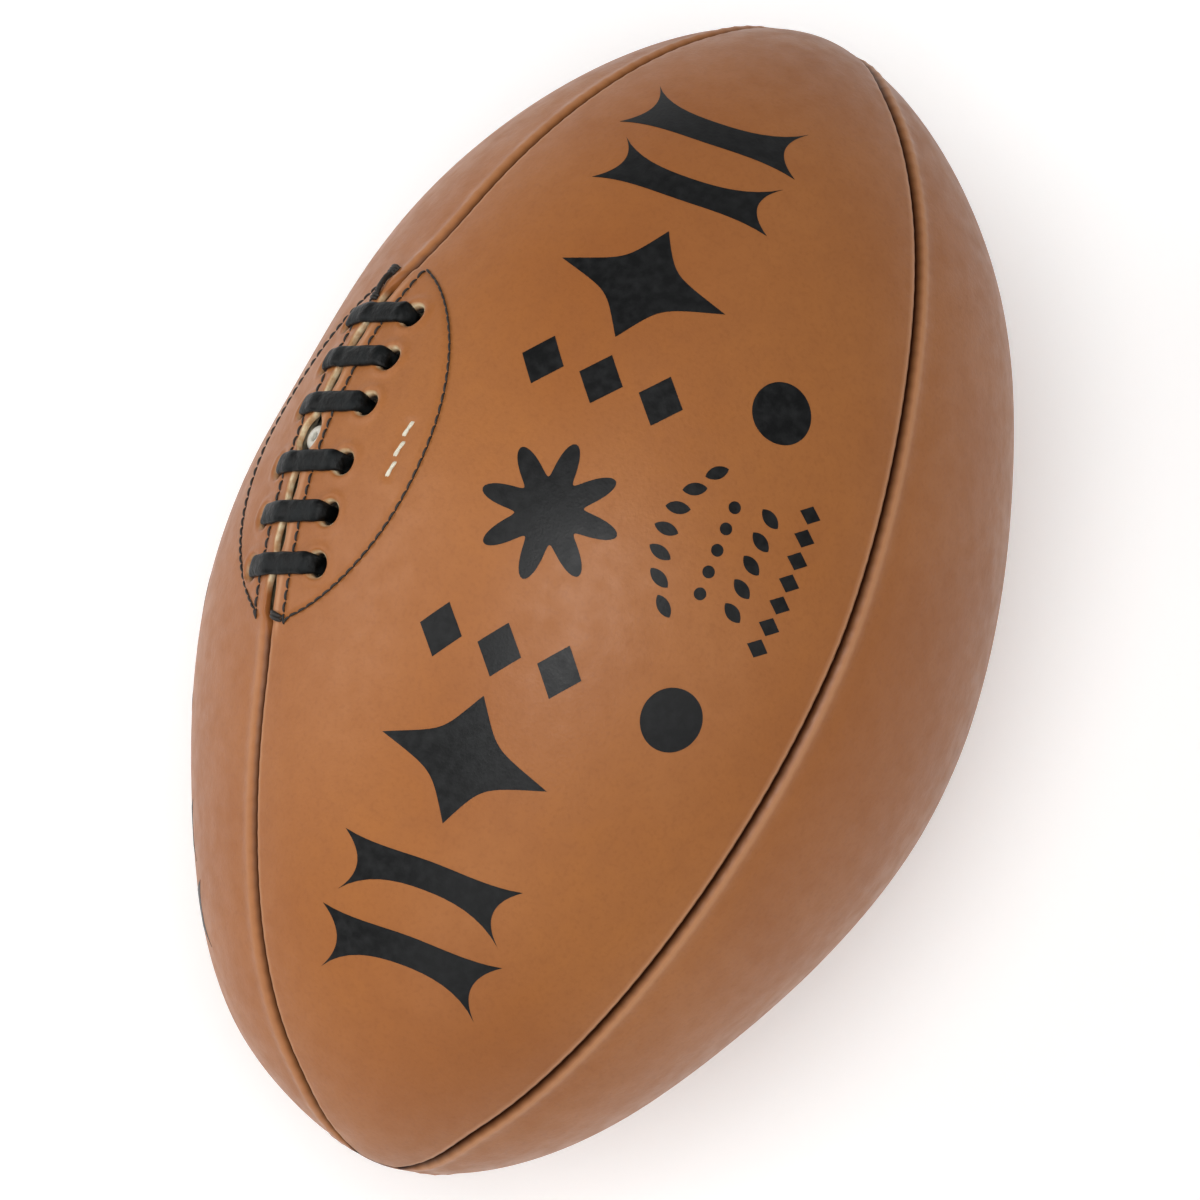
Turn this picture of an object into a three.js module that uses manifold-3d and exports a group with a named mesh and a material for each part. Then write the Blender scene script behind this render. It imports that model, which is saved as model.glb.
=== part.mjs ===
// A traditional laced rugby ball, in millimetres, lying on its side.
// The origin is the ball's centre, +X runs along its long axis and +Z points up through the middle
// of the front panel. The laced seam lies 45 degrees down the -Y side of that panel.
//
// Most pieces are thin skins that follow the ball's curved surface. Their shapes are grids bent onto
// the ball by three numbers: x along the long axis, an angle round it, and a height above the leather.

import * as THREE from "three";
import { mergeVertices } from "three/addons/utils/BufferGeometryUtils.js";
import Module from "manifold-3d";

const wasm = await Module();
wasm.setup();

// ---------------------------------------------------------------- driving dimensions

// Outline of the ball: radius = maxRadius * (1 - |x / halfLength| ^ outlinePower) ^ outlineRoot
const halfLength = 147.5;
const maxRadius = 94;
const outlinePower = 1.76;
const outlineRoot = 0.56;

// Thickness of each layer, and the clearance kept between touching pieces
const clearance = 0.3;
const leatherThickness = 2.0;
const liningThickness = 0.6;
const facingThickness = 1.4;
const tongueThickness = 1.5;
const bladderThickness = 0.8;

// Heights of the layers above (+) or below (-) the leather's outer surface
const liningTop = -2.5;
const facingTop = -4.2;
const underLaceHeight = -6.85;
const tongueTop = -8.1;
const bladderTop = -7.4;
const bladderDent = 4.6;

// Seams: the panels' edges turn inwards as flanges, sewn together through the flanges
const seamDepth = 5.6;
const edgeRound = 1.2;
const seamThreadRadius = 0.4;
const tipSeamLength = 9.5;
const tipSeamFade = 34;

// The slit in the laced seam, which bows towards the left panel
const slitStart = -53;
const slitEnd = 52;
const slitBow = 5;
const slitBowCentre = -25;
const bowReachStart = 27;
const bowReachEnd = 73;

// Reinforcement behind the slit, sewn round its outline
const facingCentre = -3.2;
const facingHalfLength = 46;
const facingHalfWidth = 32.5;
const facingOutlineRoot = 0.65;
const facingMargin = 2.5;
const rowOffset = 5.5;
const threadWidth = 0.9;
const threadHeight = 0.6;
const threadLift = 0.3;

// Lace and its holes
const laceWidth = 5;
const laceThickness = 1.8;
const laceHeight = 2.2;
const laceBend = 1.6;
const laceTail = 11;
const holeRadius = 3;
const barXs = [-34, -22, -10, 5.4, 17.6, 30];
const barSkew = 1.7;
const frontHoleOffset = 10.5;
const leftHoleOffset = -13;

// Valve, in the slit between the third and fourth bars
const valveX = -2.3;
const notchRadius = 4.2;
const bossRadius = 3.4;
const bossTop = -1;
const valveFlangeRadius = 9;
const valveFlangeTop = -10.4;
const valveFlangeThickness = 1;
const stemRadius = 3.3;
const stemBottom = -15.6;
const coreRadius = 1.9;
const needleRadius = 0.6;
const mouthRadius = 1.1;

// Tongue, and the tack that holds it to the front panel
const tongueFrom = -44;
const tongueTo = 38;
const tongueLeft = -14;
const tongueRight = 30;
const tackOffset = 25;
const tackFrom = -10.7;
const tackTo = 4.5;

// Angles of the four seams round the long axis, measured from +Z towards +Y
const seamFrontRight = Math.PI / 4;
const seamRightBack = (3 * Math.PI) / 4;
const seamBackLeft = (5 * Math.PI) / 4;
const seamLaced = (7 * Math.PI) / 4;

// How finely the skins are divided. Stations run along the axis, a little closer towards the tips;
// the pointed right and left panels end at the first and last of them, and the front and back panels
// carry on one station further, to the tips.
const stationCount = 20;
const stationCrowding = 0.2;
const archCount = 8;
const holeSides = 10;
const sidePanelEndRadius = 5.2;
const seamEndStation = 3;
const slitStartStation = 8;
const slitEndStation = 12;
const tipEndRadius = 0.6;

// ---------------------------------------------------------------- materials

const material = (color, roughness, metalness = 0) =>
  new THREE.MeshStandardMaterial({ color, roughness, metalness });

const tanLeather = material(0xa9683f, 0.45);
const canvas = material(0xcdbd98, 0.9);
const paleLeather = material(0xd8c294, 0.8);
const darkRubber = material(0x3a2a22, 0.7);
const whiteRubber = material(0xd9d6cc, 0.55);
const laceLeather = material(0x1d1f20, 0.5);
const blackThread = material(0x17140f, 0.7);
const whiteThread = material(0xe6dfc4, 0.7);
const brownThread = material(0x4a2a16, 0.8);

// ---------------------------------------------------------------- the ball's surface

const clamp = (value, low, high) => Math.min(Math.max(value, low), high);

function smooth(from, to, value) {
  const t = clamp((value - from) / (to - from), 0, 1);
  return t * t * (3 - 2 * t);
}

function radiusAt(x) {
  const t = Math.min(Math.abs(x / halfLength), 1);
  return maxRadius * (1 - t ** outlinePower) ** outlineRoot;
}

// The place along the axis where the ball has a given radius
function axisWhereRadius(radius) {
  const t = (1 - (radius / maxRadius) ** (1 / outlineRoot)) ** (1 / outlinePower);
  return halfLength * t;
}

// A point at height h above the surface, at x along the axis and the given angle round it
function onBall(x, angle, h) {
  const step = 0.01;
  const slope = (radiusAt(x + step) - radiusAt(x - step)) / (2 * step);
  const length = Math.hypot(1, slope);
  const radius = radiusAt(x) + h / length;
  return new THREE.Vector3(x - (h * slope) / length, radius * Math.sin(angle), radius * Math.cos(angle));
}

// The same, with a distance in millimetres round the surface from the laced seam's plane
const besideLacedSeam = (x, distance, h) => onBall(x, seamLaced + distance / radiusAt(x), h);

// How far the slit's line bows towards the left panel
function bowAt(x) {
  const reach = x < slitBowCentre ? bowReachStart : bowReachEnd;
  const t = Math.min(Math.abs(x - slitBowCentre) / reach, 1);
  return -slitBow * Math.cos((t * Math.PI) / 2) ** 2;
}

// At each tip the front and back panels meet along a short seam, so they spread there
function tipSpread(x) {
  const radius = radiusAt(x);
  const offset = (tipSeamLength / 2) * Math.SQRT1_2 * (1 - smooth(tipSeamLength, tipSeamFade, radius));
  return radius <= tipSeamLength / 2 ? Math.PI / 4 : Math.asin(offset / radius);
}

const lacedAngle = (x) => seamLaced - tipSpread(x) + bowAt(x) / radiusAt(x);

const seams = {
  frontRight: { angleAt: (x) => seamFrontRight + tipSpread(x), isLaced: false },
  rightBack: { angleAt: (x) => seamRightBack - tipSpread(x), isLaced: false },
  backLeft: { angleAt: (x) => seamBackLeft + tipSpread(x), isLaced: false },
  laced: { angleAt: lacedAngle, isLaced: true },
  lacedBeforeFront: { angleAt: (x) => lacedAngle(x) - 2 * Math.PI, isLaced: true },
};

// Depth of a seam flange below the outer surface: it fades out at the tips, and along the slit
function flangeDepth(x, isLaced) {
  const shallow = leatherThickness + 0.5;
  const awayFromTip = smooth(8, 20, radiusAt(x));
  const fade = 8;
  const inSlit = smooth(slitStart - fade, slitStart, x) * (1 - smooth(slitEnd, slitEnd + fade, x));
  const sewn = isLaced ? 1 - inSlit : 1;
  return shallow + (seamDepth - shallow) * awayFromTip * sewn;
}

// ---------------------------------------------------------------- shaping helpers

// Bends a box's grid: place(u, v, w) gives a point for u and v from 0 to 1 and w 0 inside, 1 outside
function bentBox(uCount, vCount, place) {
  const geometry = new THREE.BoxGeometry(1, 1, 1, uCount, vCount, 1);
  const position = geometry.attributes.position;
  for (let i = 0; i < position.count; i++) {
    const point = place(position.getX(i) + 0.5, position.getY(i) + 0.5, position.getZ(i) + 0.5);
    position.setXYZ(i, point.x, point.y, point.z);
  }
  return geometry;
}

// A closed loop of thread: a torus bent so that its ring follows path(t)
function threadLoop(path) {
  const geometry = new THREE.TorusGeometry(1, 0.1, 4, 64);
  const uv = geometry.attributes.uv;
  const position = geometry.attributes.position;
  for (let i = 0; i < position.count; i++) {
    const t = uv.getX(i) % 1;
    const [x, distance, acrossX, across] = path(t);
    const turn = (uv.getY(i) % 1) * 2 * Math.PI;
    const side = (threadWidth / 2) * Math.cos(turn);
    const lift = threadLift + (threadHeight / 2) * (1 + Math.sin(turn));
    const point = besideLacedSeam(x + acrossX * side, distance + across * side, lift);
    position.setXYZ(i, point.x, point.y, point.z);
  }
  return geometry;
}

// A straight strand of thread lying on the leather from one place to another, with even humps
function strand(from, to, offsetFrom, offsetTo, width, low, high, humps) {
  const steps = humps * 4;
  return bentBox(steps, 1, (u, v, w) => {
    const x = from + (to - from) * u;
    const distance = offsetFrom + (offsetTo - offsetFrom) * u;
    const hump = Math.abs(Math.sin(u * humps * Math.PI));
    const taper = 0.5 + 0.5 * hump;
    const height = w ? low + (high - low) * taper : low;
    return besideLacedSeam(x, distance + (v - 0.5) * width * taper, height);
  });
}

function solidFrom(geometry) {
  const bare = geometry.clone();
  bare.deleteAttribute("normal");
  bare.deleteAttribute("uv");
  const merged = mergeVertices(bare, 1e-4);
  const vertProperties = new Float32Array(merged.attributes.position.array);
  const triVerts = new Uint32Array(merged.index.array);
  return new wasm.Manifold(new wasm.Mesh({ numProp: 3, vertProperties, triVerts }));
}

function geometryFrom(solid) {
  const mesh = solid.getMesh();
  const geometry = new THREE.BufferGeometry();
  geometry.setAttribute("position", new THREE.BufferAttribute(mesh.vertProperties, 3));
  geometry.setIndex(new THREE.BufferAttribute(mesh.triVerts, 1));
  return geometry;
}

function cutAll(geometry, cutters) {
  let solid = solidFrom(geometry);
  for (const cutter of cutters) {
    solid = solid.subtract(solidFrom(cutter));
  }
  return geometryFrom(solid);
}

// Turns a shape made round the Y axis to stand on the ball beside the laced seam, its Y as height
function standOnBall(geometry, x, distance) {
  const base = besideLacedSeam(x, distance, 0);
  const up = besideLacedSeam(x, distance, 1).sub(base);
  const turn = new THREE.Quaternion().setFromUnitVectors(new THREE.Vector3(0, 1, 0), up.normalize());
  return geometry.applyQuaternion(turn).translate(base.x, base.y, base.z);
}

function boreCutter(x, distance, radius, sides) {
  const cutter = new THREE.CylinderGeometry(radius, radius, 40, sides);
  return standOnBall(cutter, x, distance);
}

// ---------------------------------------------------------------- panels and linings

function stationX(index) {
  if (index < 0 || index > stationCount) {
    return Math.sign(index) * axisWhereRadius(tipEndRadius);
  }
  const u = index / stationCount;
  const angle = Math.PI * u - (stationCrowding * Math.sin(2 * Math.PI * u)) / 2;
  return -axisWhereRadius(sidePanelEndRadius) * Math.cos(angle);
}

// Bends a skin that runs from one station to another
const skin = (first, last, columns, place) =>
  bentBox(last - first, columns, (u, v, w) => place(stationX(Math.round(first + (last - first) * u)), v, w));

// One leather panel. Its section runs from one flange's tip, up to the rounded edge, along the arch
// and down the other flange.
function panel(fromSeam, toSeam, extraStations) {
  const columnCount = archCount + 4;
  return skin(-extraStations, stationCount + extraStations, columnCount, (x, v, w) => {
    const column = Math.round(v * columnCount);
    const nearFrom = column <= columnCount / 2;
    const fromEdge = nearFrom ? column : columnCount - column;
    const depth = flangeDepth(x, (nearFrom ? fromSeam : toSeam).isLaced);
    const radius = radiusAt(x);
    const start = fromSeam.angleAt(x) * radius + clearance / 2;
    const end = toSeam.angleAt(x) * radius - clearance / 2;
    const room = (end - start) * 0.3;
    const thickness = Math.min(leatherThickness, room);
    if (fromEdge >= 2) {
      const inset = w ? Math.min(edgeRound, room) : thickness;
      const along = (column - 2) / archCount;
      const distance = start + inset + (end - start - 2 * inset) * along;
      return onBall(x, distance / radius, w ? 0 : -leatherThickness);
    }
    const aside = w ? 0 : thickness;
    const distance = nearFrom ? start + aside : end - aside;
    const edgeHeight = w ? -edgeRound * 0.6 : -(leatherThickness + depth) / 2;
    return onBall(x, distance / radius, fromEdge === 0 ? -depth : edgeHeight);
  });
}

// One canvas lining, inside its panel and clear of the flanges
function lining(fromSeam, toSeam) {
  const inset = leatherThickness + clearance * 1.5;
  const endStations = 2;
  return skin(endStations, stationCount - endStations, archCount, (x, v, w) => {
    const radius = radiusAt(x);
    const start = fromSeam.angleAt(x) * radius + inset;
    const end = toSeam.angleAt(x) * radius - inset;
    return onBall(x, (start + (end - start) * v) / radius, w ? liningTop : liningTop - liningThickness);
  });
}

// The thread that sews two flanges together, drawn as its straight run under their tips
function seamThread(seam, first, last) {
  return skin(first, last, 1, (x, v, w) => {
    const distance = (v - 0.5) * 2 * seamThreadRadius;
    const height = -seamDepth - clearance - (w ? 0 : 2 * seamThreadRadius);
    return onBall(x, seam.angleAt(x) + distance / radiusAt(x), height);
  });
}

// ---------------------------------------------------------------- bladder and valve

// A closed skin at an even depth, with a dent where the tongue and the valve lie
function bladderSurface(depth) {
  const geometry = new THREE.SphereGeometry(1, 20, 16);
  geometry.rotateZ(-Math.PI / 2);
  const position = geometry.attributes.position;
  for (let i = 0; i < position.count; i++) {
    const cosine = position.getX(i);
    const across = Math.hypot(position.getY(i), position.getZ(i));
    const point = new THREE.Vector3(Math.sign(cosine) * (halfLength + depth), 0, 0);
    if (across > 1e-4) {
      const x = cosine * halfLength;
      const angle = Math.atan2(position.getY(i), position.getZ(i));
      const distance = (angle - seamLaced + 2 * Math.PI) * radiusAt(x);
      const dentAlong = smooth(-75, -50, x) * (1 - smooth(44, 70, x));
      const dentAround = smooth(-42, -20, distance) * (1 - smooth(36, 58, distance));
      point.copy(onBall(x, angle, depth - bladderDent * dentAlong * dentAround));
    }
    position.setXYZ(i, point.x, point.y, point.z);
  }
  return geometry;
}

function bladder() {
  const outside = solidFrom(bladderSurface(bladderTop));
  const inside = solidFrom(bladderSurface(bladderTop - bladderThickness));
  const mouth = solidFrom(boreCutter(valveX, bowAt(valveX), stemRadius + clearance, 16));
  return geometryFrom(outside.subtract(inside).subtract(mouth));
}

// Turns a closed profile of [radius, height] pairs about the valve's own axis
function turned(profile, sides) {
  const points = profile.map(([radius, height]) => new THREE.Vector2(radius, height));
  const geometry = new THREE.LatheGeometry([...points, points[0].clone()], sides);
  return standOnBall(geometry, valveX, bowAt(valveX));
}

function valveHousing() {
  const flangeBottom = valveFlangeTop - valveFlangeThickness;
  const coreSpace = coreRadius + clearance;
  return turned([
    [coreSpace, stemBottom],
    [stemRadius, stemBottom],
    [stemRadius, flangeBottom],
    [valveFlangeRadius, flangeBottom],
    [valveFlangeRadius, valveFlangeTop],
    [bossRadius, valveFlangeTop],
    [bossRadius, bossTop - 1.2],
    [bossRadius - 0.9, bossTop - 0.3],
    [mouthRadius, bossTop],
    [mouthRadius, bossTop - 2],
    [coreSpace, bossTop - 3],
  ], 16);
}

function valveCore() {
  const top = bossTop - 3.6;
  return turned([
    [needleRadius, stemBottom + 1],
    [coreRadius - 0.5, stemBottom + 1],
    [coreRadius, stemBottom + 3],
    [coreRadius, top],
    [needleRadius, top],
  ], 12);
}

// ---------------------------------------------------------------- the laced opening

// Where a bar of the lace enters the leather. side is +1 for the front panel, -1 for the left panel.
const holePlace = (side, bar) => [bar - side * barSkew, side > 0 ? frontHoleOffset : leftHoleOffset];

// Cutters for one side's lace holes and for the valve's notch
function openingCutters(side) {
  const notch = boreCutter(valveX, bowAt(valveX), notchRadius, 16);
  return [notch, ...barXs.map((bar) => boreCutter(...holePlace(side, bar), holeRadius, holeSides))];
}

function facingOutline(x, margin) {
  const t = clamp((x - facingCentre) / (facingHalfLength + margin), -1, 1);
  return (facingHalfWidth + margin) * (1 - t * t) ** facingOutlineRoot;
}

function facing(side) {
  const halfSpan = facingHalfLength - 1;
  return bentBox(12, 4, (u, v, w) => {
    const x = facingCentre - halfSpan * Math.cos(Math.PI * u);
    const inner = bowAt(x) * side + clearance;
    const outer = facingOutline(x, facingMargin);
    const across = inner + (outer - inner) * (side > 0 ? v : 1 - v);
    return besideLacedSeam(x, across * side, w ? facingTop : facingTop - facingThickness);
  });
}

// The sewn line round a facing: out along its outline and back beside the slit
function facingThreadPath(side) {
  const halfSpan = facingHalfLength - 1.5;
  const place = (t) => {
    const outward = t < 0.5;
    const along = outward ? t * 2 : 2 - t * 2;
    const x = facingCentre - halfSpan * Math.cos(Math.PI * along);
    const row = bowAt(x) * side + rowOffset;
    const outline = Math.max(facingOutline(x, 0), row + 0.3);
    return [x, side * (outward ? outline : row)];
  };
  return (t) => {
    const step = 0.004;
    const [x, distance] = place(t);
    const [xBefore, before] = place((t - step + 1) % 1);
    const [xAfter, after] = place((t + step) % 1);
    const length = Math.hypot(xAfter - xBefore, after - before);
    return [x, distance, (after - before) / length, (xBefore - xAfter) / length];
  };
}

function tongue() {
  const flap = bentBox(10, 6, (u, v, w) => {
    const x = tongueFrom + (tongueTo - tongueFrom) * u;
    const nearEnd = Math.abs(2 * u - 1);
    const round = 1 - 0.35 * nearEnd ** 6;
    const middle = (tongueLeft + tongueRight) / 2;
    const distance = middle + (tongueRight - tongueLeft) * (v - 0.5) * round;
    return besideLacedSeam(x, distance, w ? tongueTop : tongueTop - tongueThickness);
  });
  return cutAll(flap, [boreCutter(valveX, bowAt(valveX), bossRadius + clearance, 16)]);
}

// ---------------------------------------------------------------- the lace

// One bend of the lace: its centre line turns from one heading to another about a corner
function cornerPoints(corner, from, to, count) {
  const points = [];
  for (let i = 0; i <= count; i++) {
    const t = ((i / count) * Math.PI) / 2;
    const point = corner.clone();
    point.addScaledVector(from, laceBend * (1 - Math.sin(t)));
    point.addScaledVector(to, laceBend * (1 - Math.cos(t)));
    points.push(point);
  }
  return points;
}

// The lace's centre line in flat coordinates: x, distance beside the laced seam, height. Each row is
// [position, twist], where twist 0 has the lace's width along x and 1 has it across the slit.
function laceRoute() {
  const rows = [];
  const add = (points, twist) => points.forEach((point) => rows.push([point, twist]));
  const up = new THREE.Vector3(0, 0, 1);
  const down = new THREE.Vector3(0, 0, -1);
  const forward = new THREE.Vector3(1, 0, 0);
  const backward = new THREE.Vector3(-1, 0, 0);
  const twistMiddle = (laceHeight + underLaceHeight) / 2;
  const hole = (side, bar) => new THREE.Vector3(...holePlace(side, bar), 0);
  barXs.forEach((bar, i) => {
    const startSide = i % 2 ? 1 : -1;
    const entry = hole(startSide, bar);
    const exit = hole(-startSide, bar);
    const below = (point) => point.clone().setZ(underLaceHeight);
    const above = (point) => point.clone().setZ(laceHeight);
    const across = above(exit).sub(above(entry)).normalize();
    if (i === 0) {
      rows.push([below(entry).addScaledVector(backward, laceTail), 1]);
    }
    add(cornerPoints(below(entry), backward, up, 3), 1);
    rows.push([entry.clone().setZ(twistMiddle), 0.5]);
    add(cornerPoints(above(entry), down, across, 3), 0);
    const barSteps = 6;
    for (let k = 1; k < barSteps; k++) {
      rows.push([above(entry).lerp(above(exit), k / barSteps), 0]);
    }
    add(cornerPoints(above(exit), across.clone().negate(), down, 3), 0);
    rows.push([exit.clone().setZ(twistMiddle), 0.5]);
    add(cornerPoints(below(exit), up, forward, 3), 1);
    if (i === barXs.length - 1) {
      rows.push([below(exit).addScaledVector(forward, laceTail), 1]);
    }
  });
  return rows;
}

function lace() {
  const rows = laceRoute();
  const last = rows.length - 1;
  return bentBox(last, 1, (u, v, w) => {
    const i = Math.round(u * last);
    const [centre, twist] = rows[i];
    const heading = rows[Math.min(i + 1, last)][0].clone().sub(rows[Math.max(i - 1, 0)][0]).normalize();
    const widthWay = new THREE.Vector3(1 - twist, twist, 0);
    widthWay.addScaledVector(heading, -widthWay.dot(heading)).normalize();
    const thickWay = heading.clone().cross(widthWay);
    const point = centre.clone();
    point.addScaledVector(widthWay, (v - 0.5) * laceWidth);
    point.addScaledVector(thickWay, (w - 0.5) * laceThickness);
    return besideLacedSeam(point.x, point.y, point.z);
  });
}

// ---------------------------------------------------------------- tacks

function tongueTack() {
  const low = threadLift;
  return strand(tackFrom, tackTo, tackOffset, tackOffset, 1.2, low, low + 0.8, 3);
}

// Thick tacks over the ends of the sewn rows, one at each end of the slit
function upperTack() {
  const low = threadLift * 2 + threadHeight;
  return strand(-48.5, -38.5, bowAt(-48.5) - rowOffset, bowAt(-38.5) - rowOffset, 1.6, low, low + 1, 2);
}

function lowerTack() {
  const low = threadLift * 2 + threadHeight;
  return strand(40, 42.5, rowOffset - 4, rowOffset, 1.6, low, low + 1, 1);
}

// ---------------------------------------------------------------- the object

const ball = new THREE.Group();

function addPiece(name, geometry, look) {
  const mesh = new THREE.Mesh(geometry, look);
  mesh.name = name;
  ball.add(mesh);
}

const { frontRight, rightBack, backLeft, laced, lacedBeforeFront } = seams;

addPiece("panel_front", cutAll(panel(lacedBeforeFront, frontRight, 1), openingCutters(1)), tanLeather);
addPiece("panel_right", panel(frontRight, rightBack, 0), tanLeather);
addPiece("panel_back", panel(rightBack, backLeft, 1), tanLeather);
addPiece("panel_left", cutAll(panel(backLeft, laced, 0), openingCutters(-1)), tanLeather);

addPiece("lining_front", cutAll(lining(lacedBeforeFront, frontRight), openingCutters(1)), canvas);
addPiece("lining_right", lining(frontRight, rightBack), canvas);
addPiece("lining_back", lining(rightBack, backLeft), canvas);
addPiece("lining_left", cutAll(lining(backLeft, laced), openingCutters(-1)), canvas);

addPiece("facing_front", cutAll(facing(1), openingCutters(1)), paleLeather);
addPiece("facing_left", cutAll(facing(-1), openingCutters(-1)), paleLeather);
addPiece("tongue", tongue(), paleLeather);
addPiece("lace", lace(), laceLeather);

addPiece("bladder", bladder(), darkRubber);
addPiece("valve_housing", valveHousing(), whiteRubber);
addPiece("valve_core", valveCore(), darkRubber);

const seamLastStation = stationCount - seamEndStation;
addPiece("seam_thread_front_right", seamThread(frontRight, seamEndStation, seamLastStation), brownThread);
addPiece("seam_thread_right_back", seamThread(rightBack, seamEndStation, seamLastStation), brownThread);
addPiece("seam_thread_back_left", seamThread(backLeft, seamEndStation, seamLastStation), brownThread);
addPiece("seam_thread_lace_upper", seamThread(laced, seamEndStation, slitStartStation), brownThread);
addPiece("seam_thread_lace_lower", seamThread(laced, slitEndStation, seamLastStation), brownThread);

addPiece("facing_thread_front", threadLoop(facingThreadPath(1)), blackThread);
addPiece("facing_thread_left", threadLoop(facingThreadPath(-1)), blackThread);
addPiece("tongue_thread", tongueTack(), whiteThread);
addPiece("slit_tack_upper", upperTack(), blackThread);
addPiece("slit_tack_lower", lowerTack(), blackThread);

export default ball;
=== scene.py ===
"""A traditional laced rugby ball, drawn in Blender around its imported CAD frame.

Shapes are worked out in millimetres and become metres when a mesh is made. A place on the ball has
three numbers: x along the long axis, the distance round the surface from a seam's plane, and the
height above the leather. The laced seam is 45 degrees round from the top towards -Y.
"""

import math

import bpy
import numpy as np
from mathutils import Matrix, Vector


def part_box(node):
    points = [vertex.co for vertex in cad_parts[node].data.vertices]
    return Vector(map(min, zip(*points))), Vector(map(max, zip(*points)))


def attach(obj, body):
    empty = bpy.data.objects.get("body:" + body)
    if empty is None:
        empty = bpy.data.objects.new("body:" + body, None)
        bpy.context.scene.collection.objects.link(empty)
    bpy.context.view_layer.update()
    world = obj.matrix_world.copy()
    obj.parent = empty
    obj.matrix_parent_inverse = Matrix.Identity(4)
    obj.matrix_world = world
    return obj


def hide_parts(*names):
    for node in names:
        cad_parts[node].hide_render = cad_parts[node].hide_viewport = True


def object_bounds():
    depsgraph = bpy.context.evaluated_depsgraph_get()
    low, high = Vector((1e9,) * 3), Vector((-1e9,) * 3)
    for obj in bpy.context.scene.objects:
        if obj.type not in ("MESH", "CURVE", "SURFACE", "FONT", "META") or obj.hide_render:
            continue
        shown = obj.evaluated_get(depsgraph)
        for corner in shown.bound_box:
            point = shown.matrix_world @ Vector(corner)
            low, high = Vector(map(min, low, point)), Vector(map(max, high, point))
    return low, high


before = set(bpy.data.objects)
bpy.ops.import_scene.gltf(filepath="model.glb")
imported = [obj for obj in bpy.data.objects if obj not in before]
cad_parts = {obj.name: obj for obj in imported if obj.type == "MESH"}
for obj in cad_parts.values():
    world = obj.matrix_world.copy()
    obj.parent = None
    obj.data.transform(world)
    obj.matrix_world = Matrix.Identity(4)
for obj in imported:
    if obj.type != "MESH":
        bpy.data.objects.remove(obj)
cad_box = [list(corner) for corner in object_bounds()]

# ------------------------ sizes, in millimetres

MM = 0.001
TURN = 2 * math.pi

# The outline: radius = MAX_RADIUS * (1 - |x / HALF_LENGTH| ** OUTLINE_POWER) ** OUTLINE_ROOT
HALF_LENGTH = cad_box[1][0] / MM
MAX_RADIUS = cad_box[1][1] / MM
OUTLINE_POWER = 1.76
OUTLINE_ROOT = 0.56

# The filled ball is not quite round. Each swell is its middle (x, degrees round from the top towards
# +Y), its height, and its reach along and round the ball.
SWELLS = (
    (-20, -86, -4.9, 40, 29),
    (122, -88, 3.2, 30, 45),
    (-100, 88, 1.6, 30, 40),
    (28, 97, 1.1, 26, 35),
    (94, 100, -1.4, 28, 35),
)
# They fade out towards the tips, between these two radii
SWELL_FADE = (5, 45)

LEATHER_THICKNESS = 2.0
FLANGE_DEPTH = 5.4
TIP_FLANGE_DEPTH = 2.5
# Rounding of a sewn edge: the side panels' edges stand up as soft ridges over the flat ones
FLAT_ROUND = 1.2
RIDGE_ROUND = 2.0
RIDGE_HEIGHT = 0.5
SEAM_DIP = 0.3
RIDGE_PUCKER = 0.18
FLAT_PUCKER = 0.1
# Strips along an edge: how far their middle is from the edge, and their width
RIDGE_STRIP = (2.3, 1.8)
PUCKER_STRIP = (1.6, 2.0)
# The pale strips below are painted highlight, on the side panels' ridges partly wear
RIDGE_WEAR_HIGHLIGHT_STRIP = (2.2, 0.9)
FLAT_HIGHLIGHT_STRIP = (1.6, 0.5)
LIP_HIGHLIGHT_STRIP = (3.0, 0.7)
# How wide the painted shade in a seam's groove reaches
GROOVE_SHADE_WIDTH = 1.1
LACED_GROOVE_SHADE_WIDTH = 0.9
# The seams' relief fades out towards the tips, between these two radii
SEAM_FADE = (4, 14)
# How strong the laced seam's pale edges are, where 1 is the other seams': painted highlight, on the
# ridges partly wear
LACED_SEAM_HIGHLIGHT = 0.6
# The same for the painted highlight along the front panel's lip, between the slit and the sewn row
LIP_HIGHLIGHT = 1.1
# Half the gap between two sewn edges
SEAM_GAP = 0.45
STITCH_PITCH = 4.2
# At a tip the front and back panels meet along a short seam, and the spread fades at this radius
TIP_SEAM_LENGTH = 9.5
TIP_SEAM_FADE = 34
TIP_END_RADIUS = 0.3
SIDE_PANEL_END_RADIUS = 5.0
# Where a panel is narrower than this, its edges' rounding is smaller in proportion
NARROW_PANEL = 12
# Grid spacing of the leather beside the slit, and elsewhere on the laced and on the other panels
CELL = 0.6
LACED_PANEL_SPACING = 1.05
PLAIN_PANEL_SPACING = 0.8

# The slit bows towards the left panel, and its lips are cut edges
SLIT_START = -45
SLIT_END = 44
SLIT_FADE = 4
SLIT_BOW = 6
SLIT_BOW_CENTRE = -25
BOW_REACH_START = 45
BOW_REACH_END = 80
# Half the slit's width at a bar, and how much more it is between bars
LIP_GAP = 0.6
LIP_GAP_BETWEEN_BARS = 0.6
LIP_ROUND = {1: 0.9, -1: 0.7}
LIP_HEIGHT = {1: 1.0, -1: 1.6}
RAW_EDGE_START = -38
RAW_EDGE_END = 33
RAW_EDGE_FADE = 4
# How far each of a rounded edge's eight columns shows the leather's raw, pale inside
LIP_PALENESS = {
    0: np.zeros(8),
    1: np.array([0.6, 0.9, 0.7, 0.5, 0.4, 0.3, 0.2, 0]),
    -1: np.array([0.6, 0.9, 1, 1, 0.8, 0.4, 0.1, 0]),
}
HOLE_PALENESS = {1: 1.0, -1: 0.4}

# The laced seam's sides: +1 is the front panel, -1 the left panel
LACED_SIDES = ((1, "front"), (-1, "left"))

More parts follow.
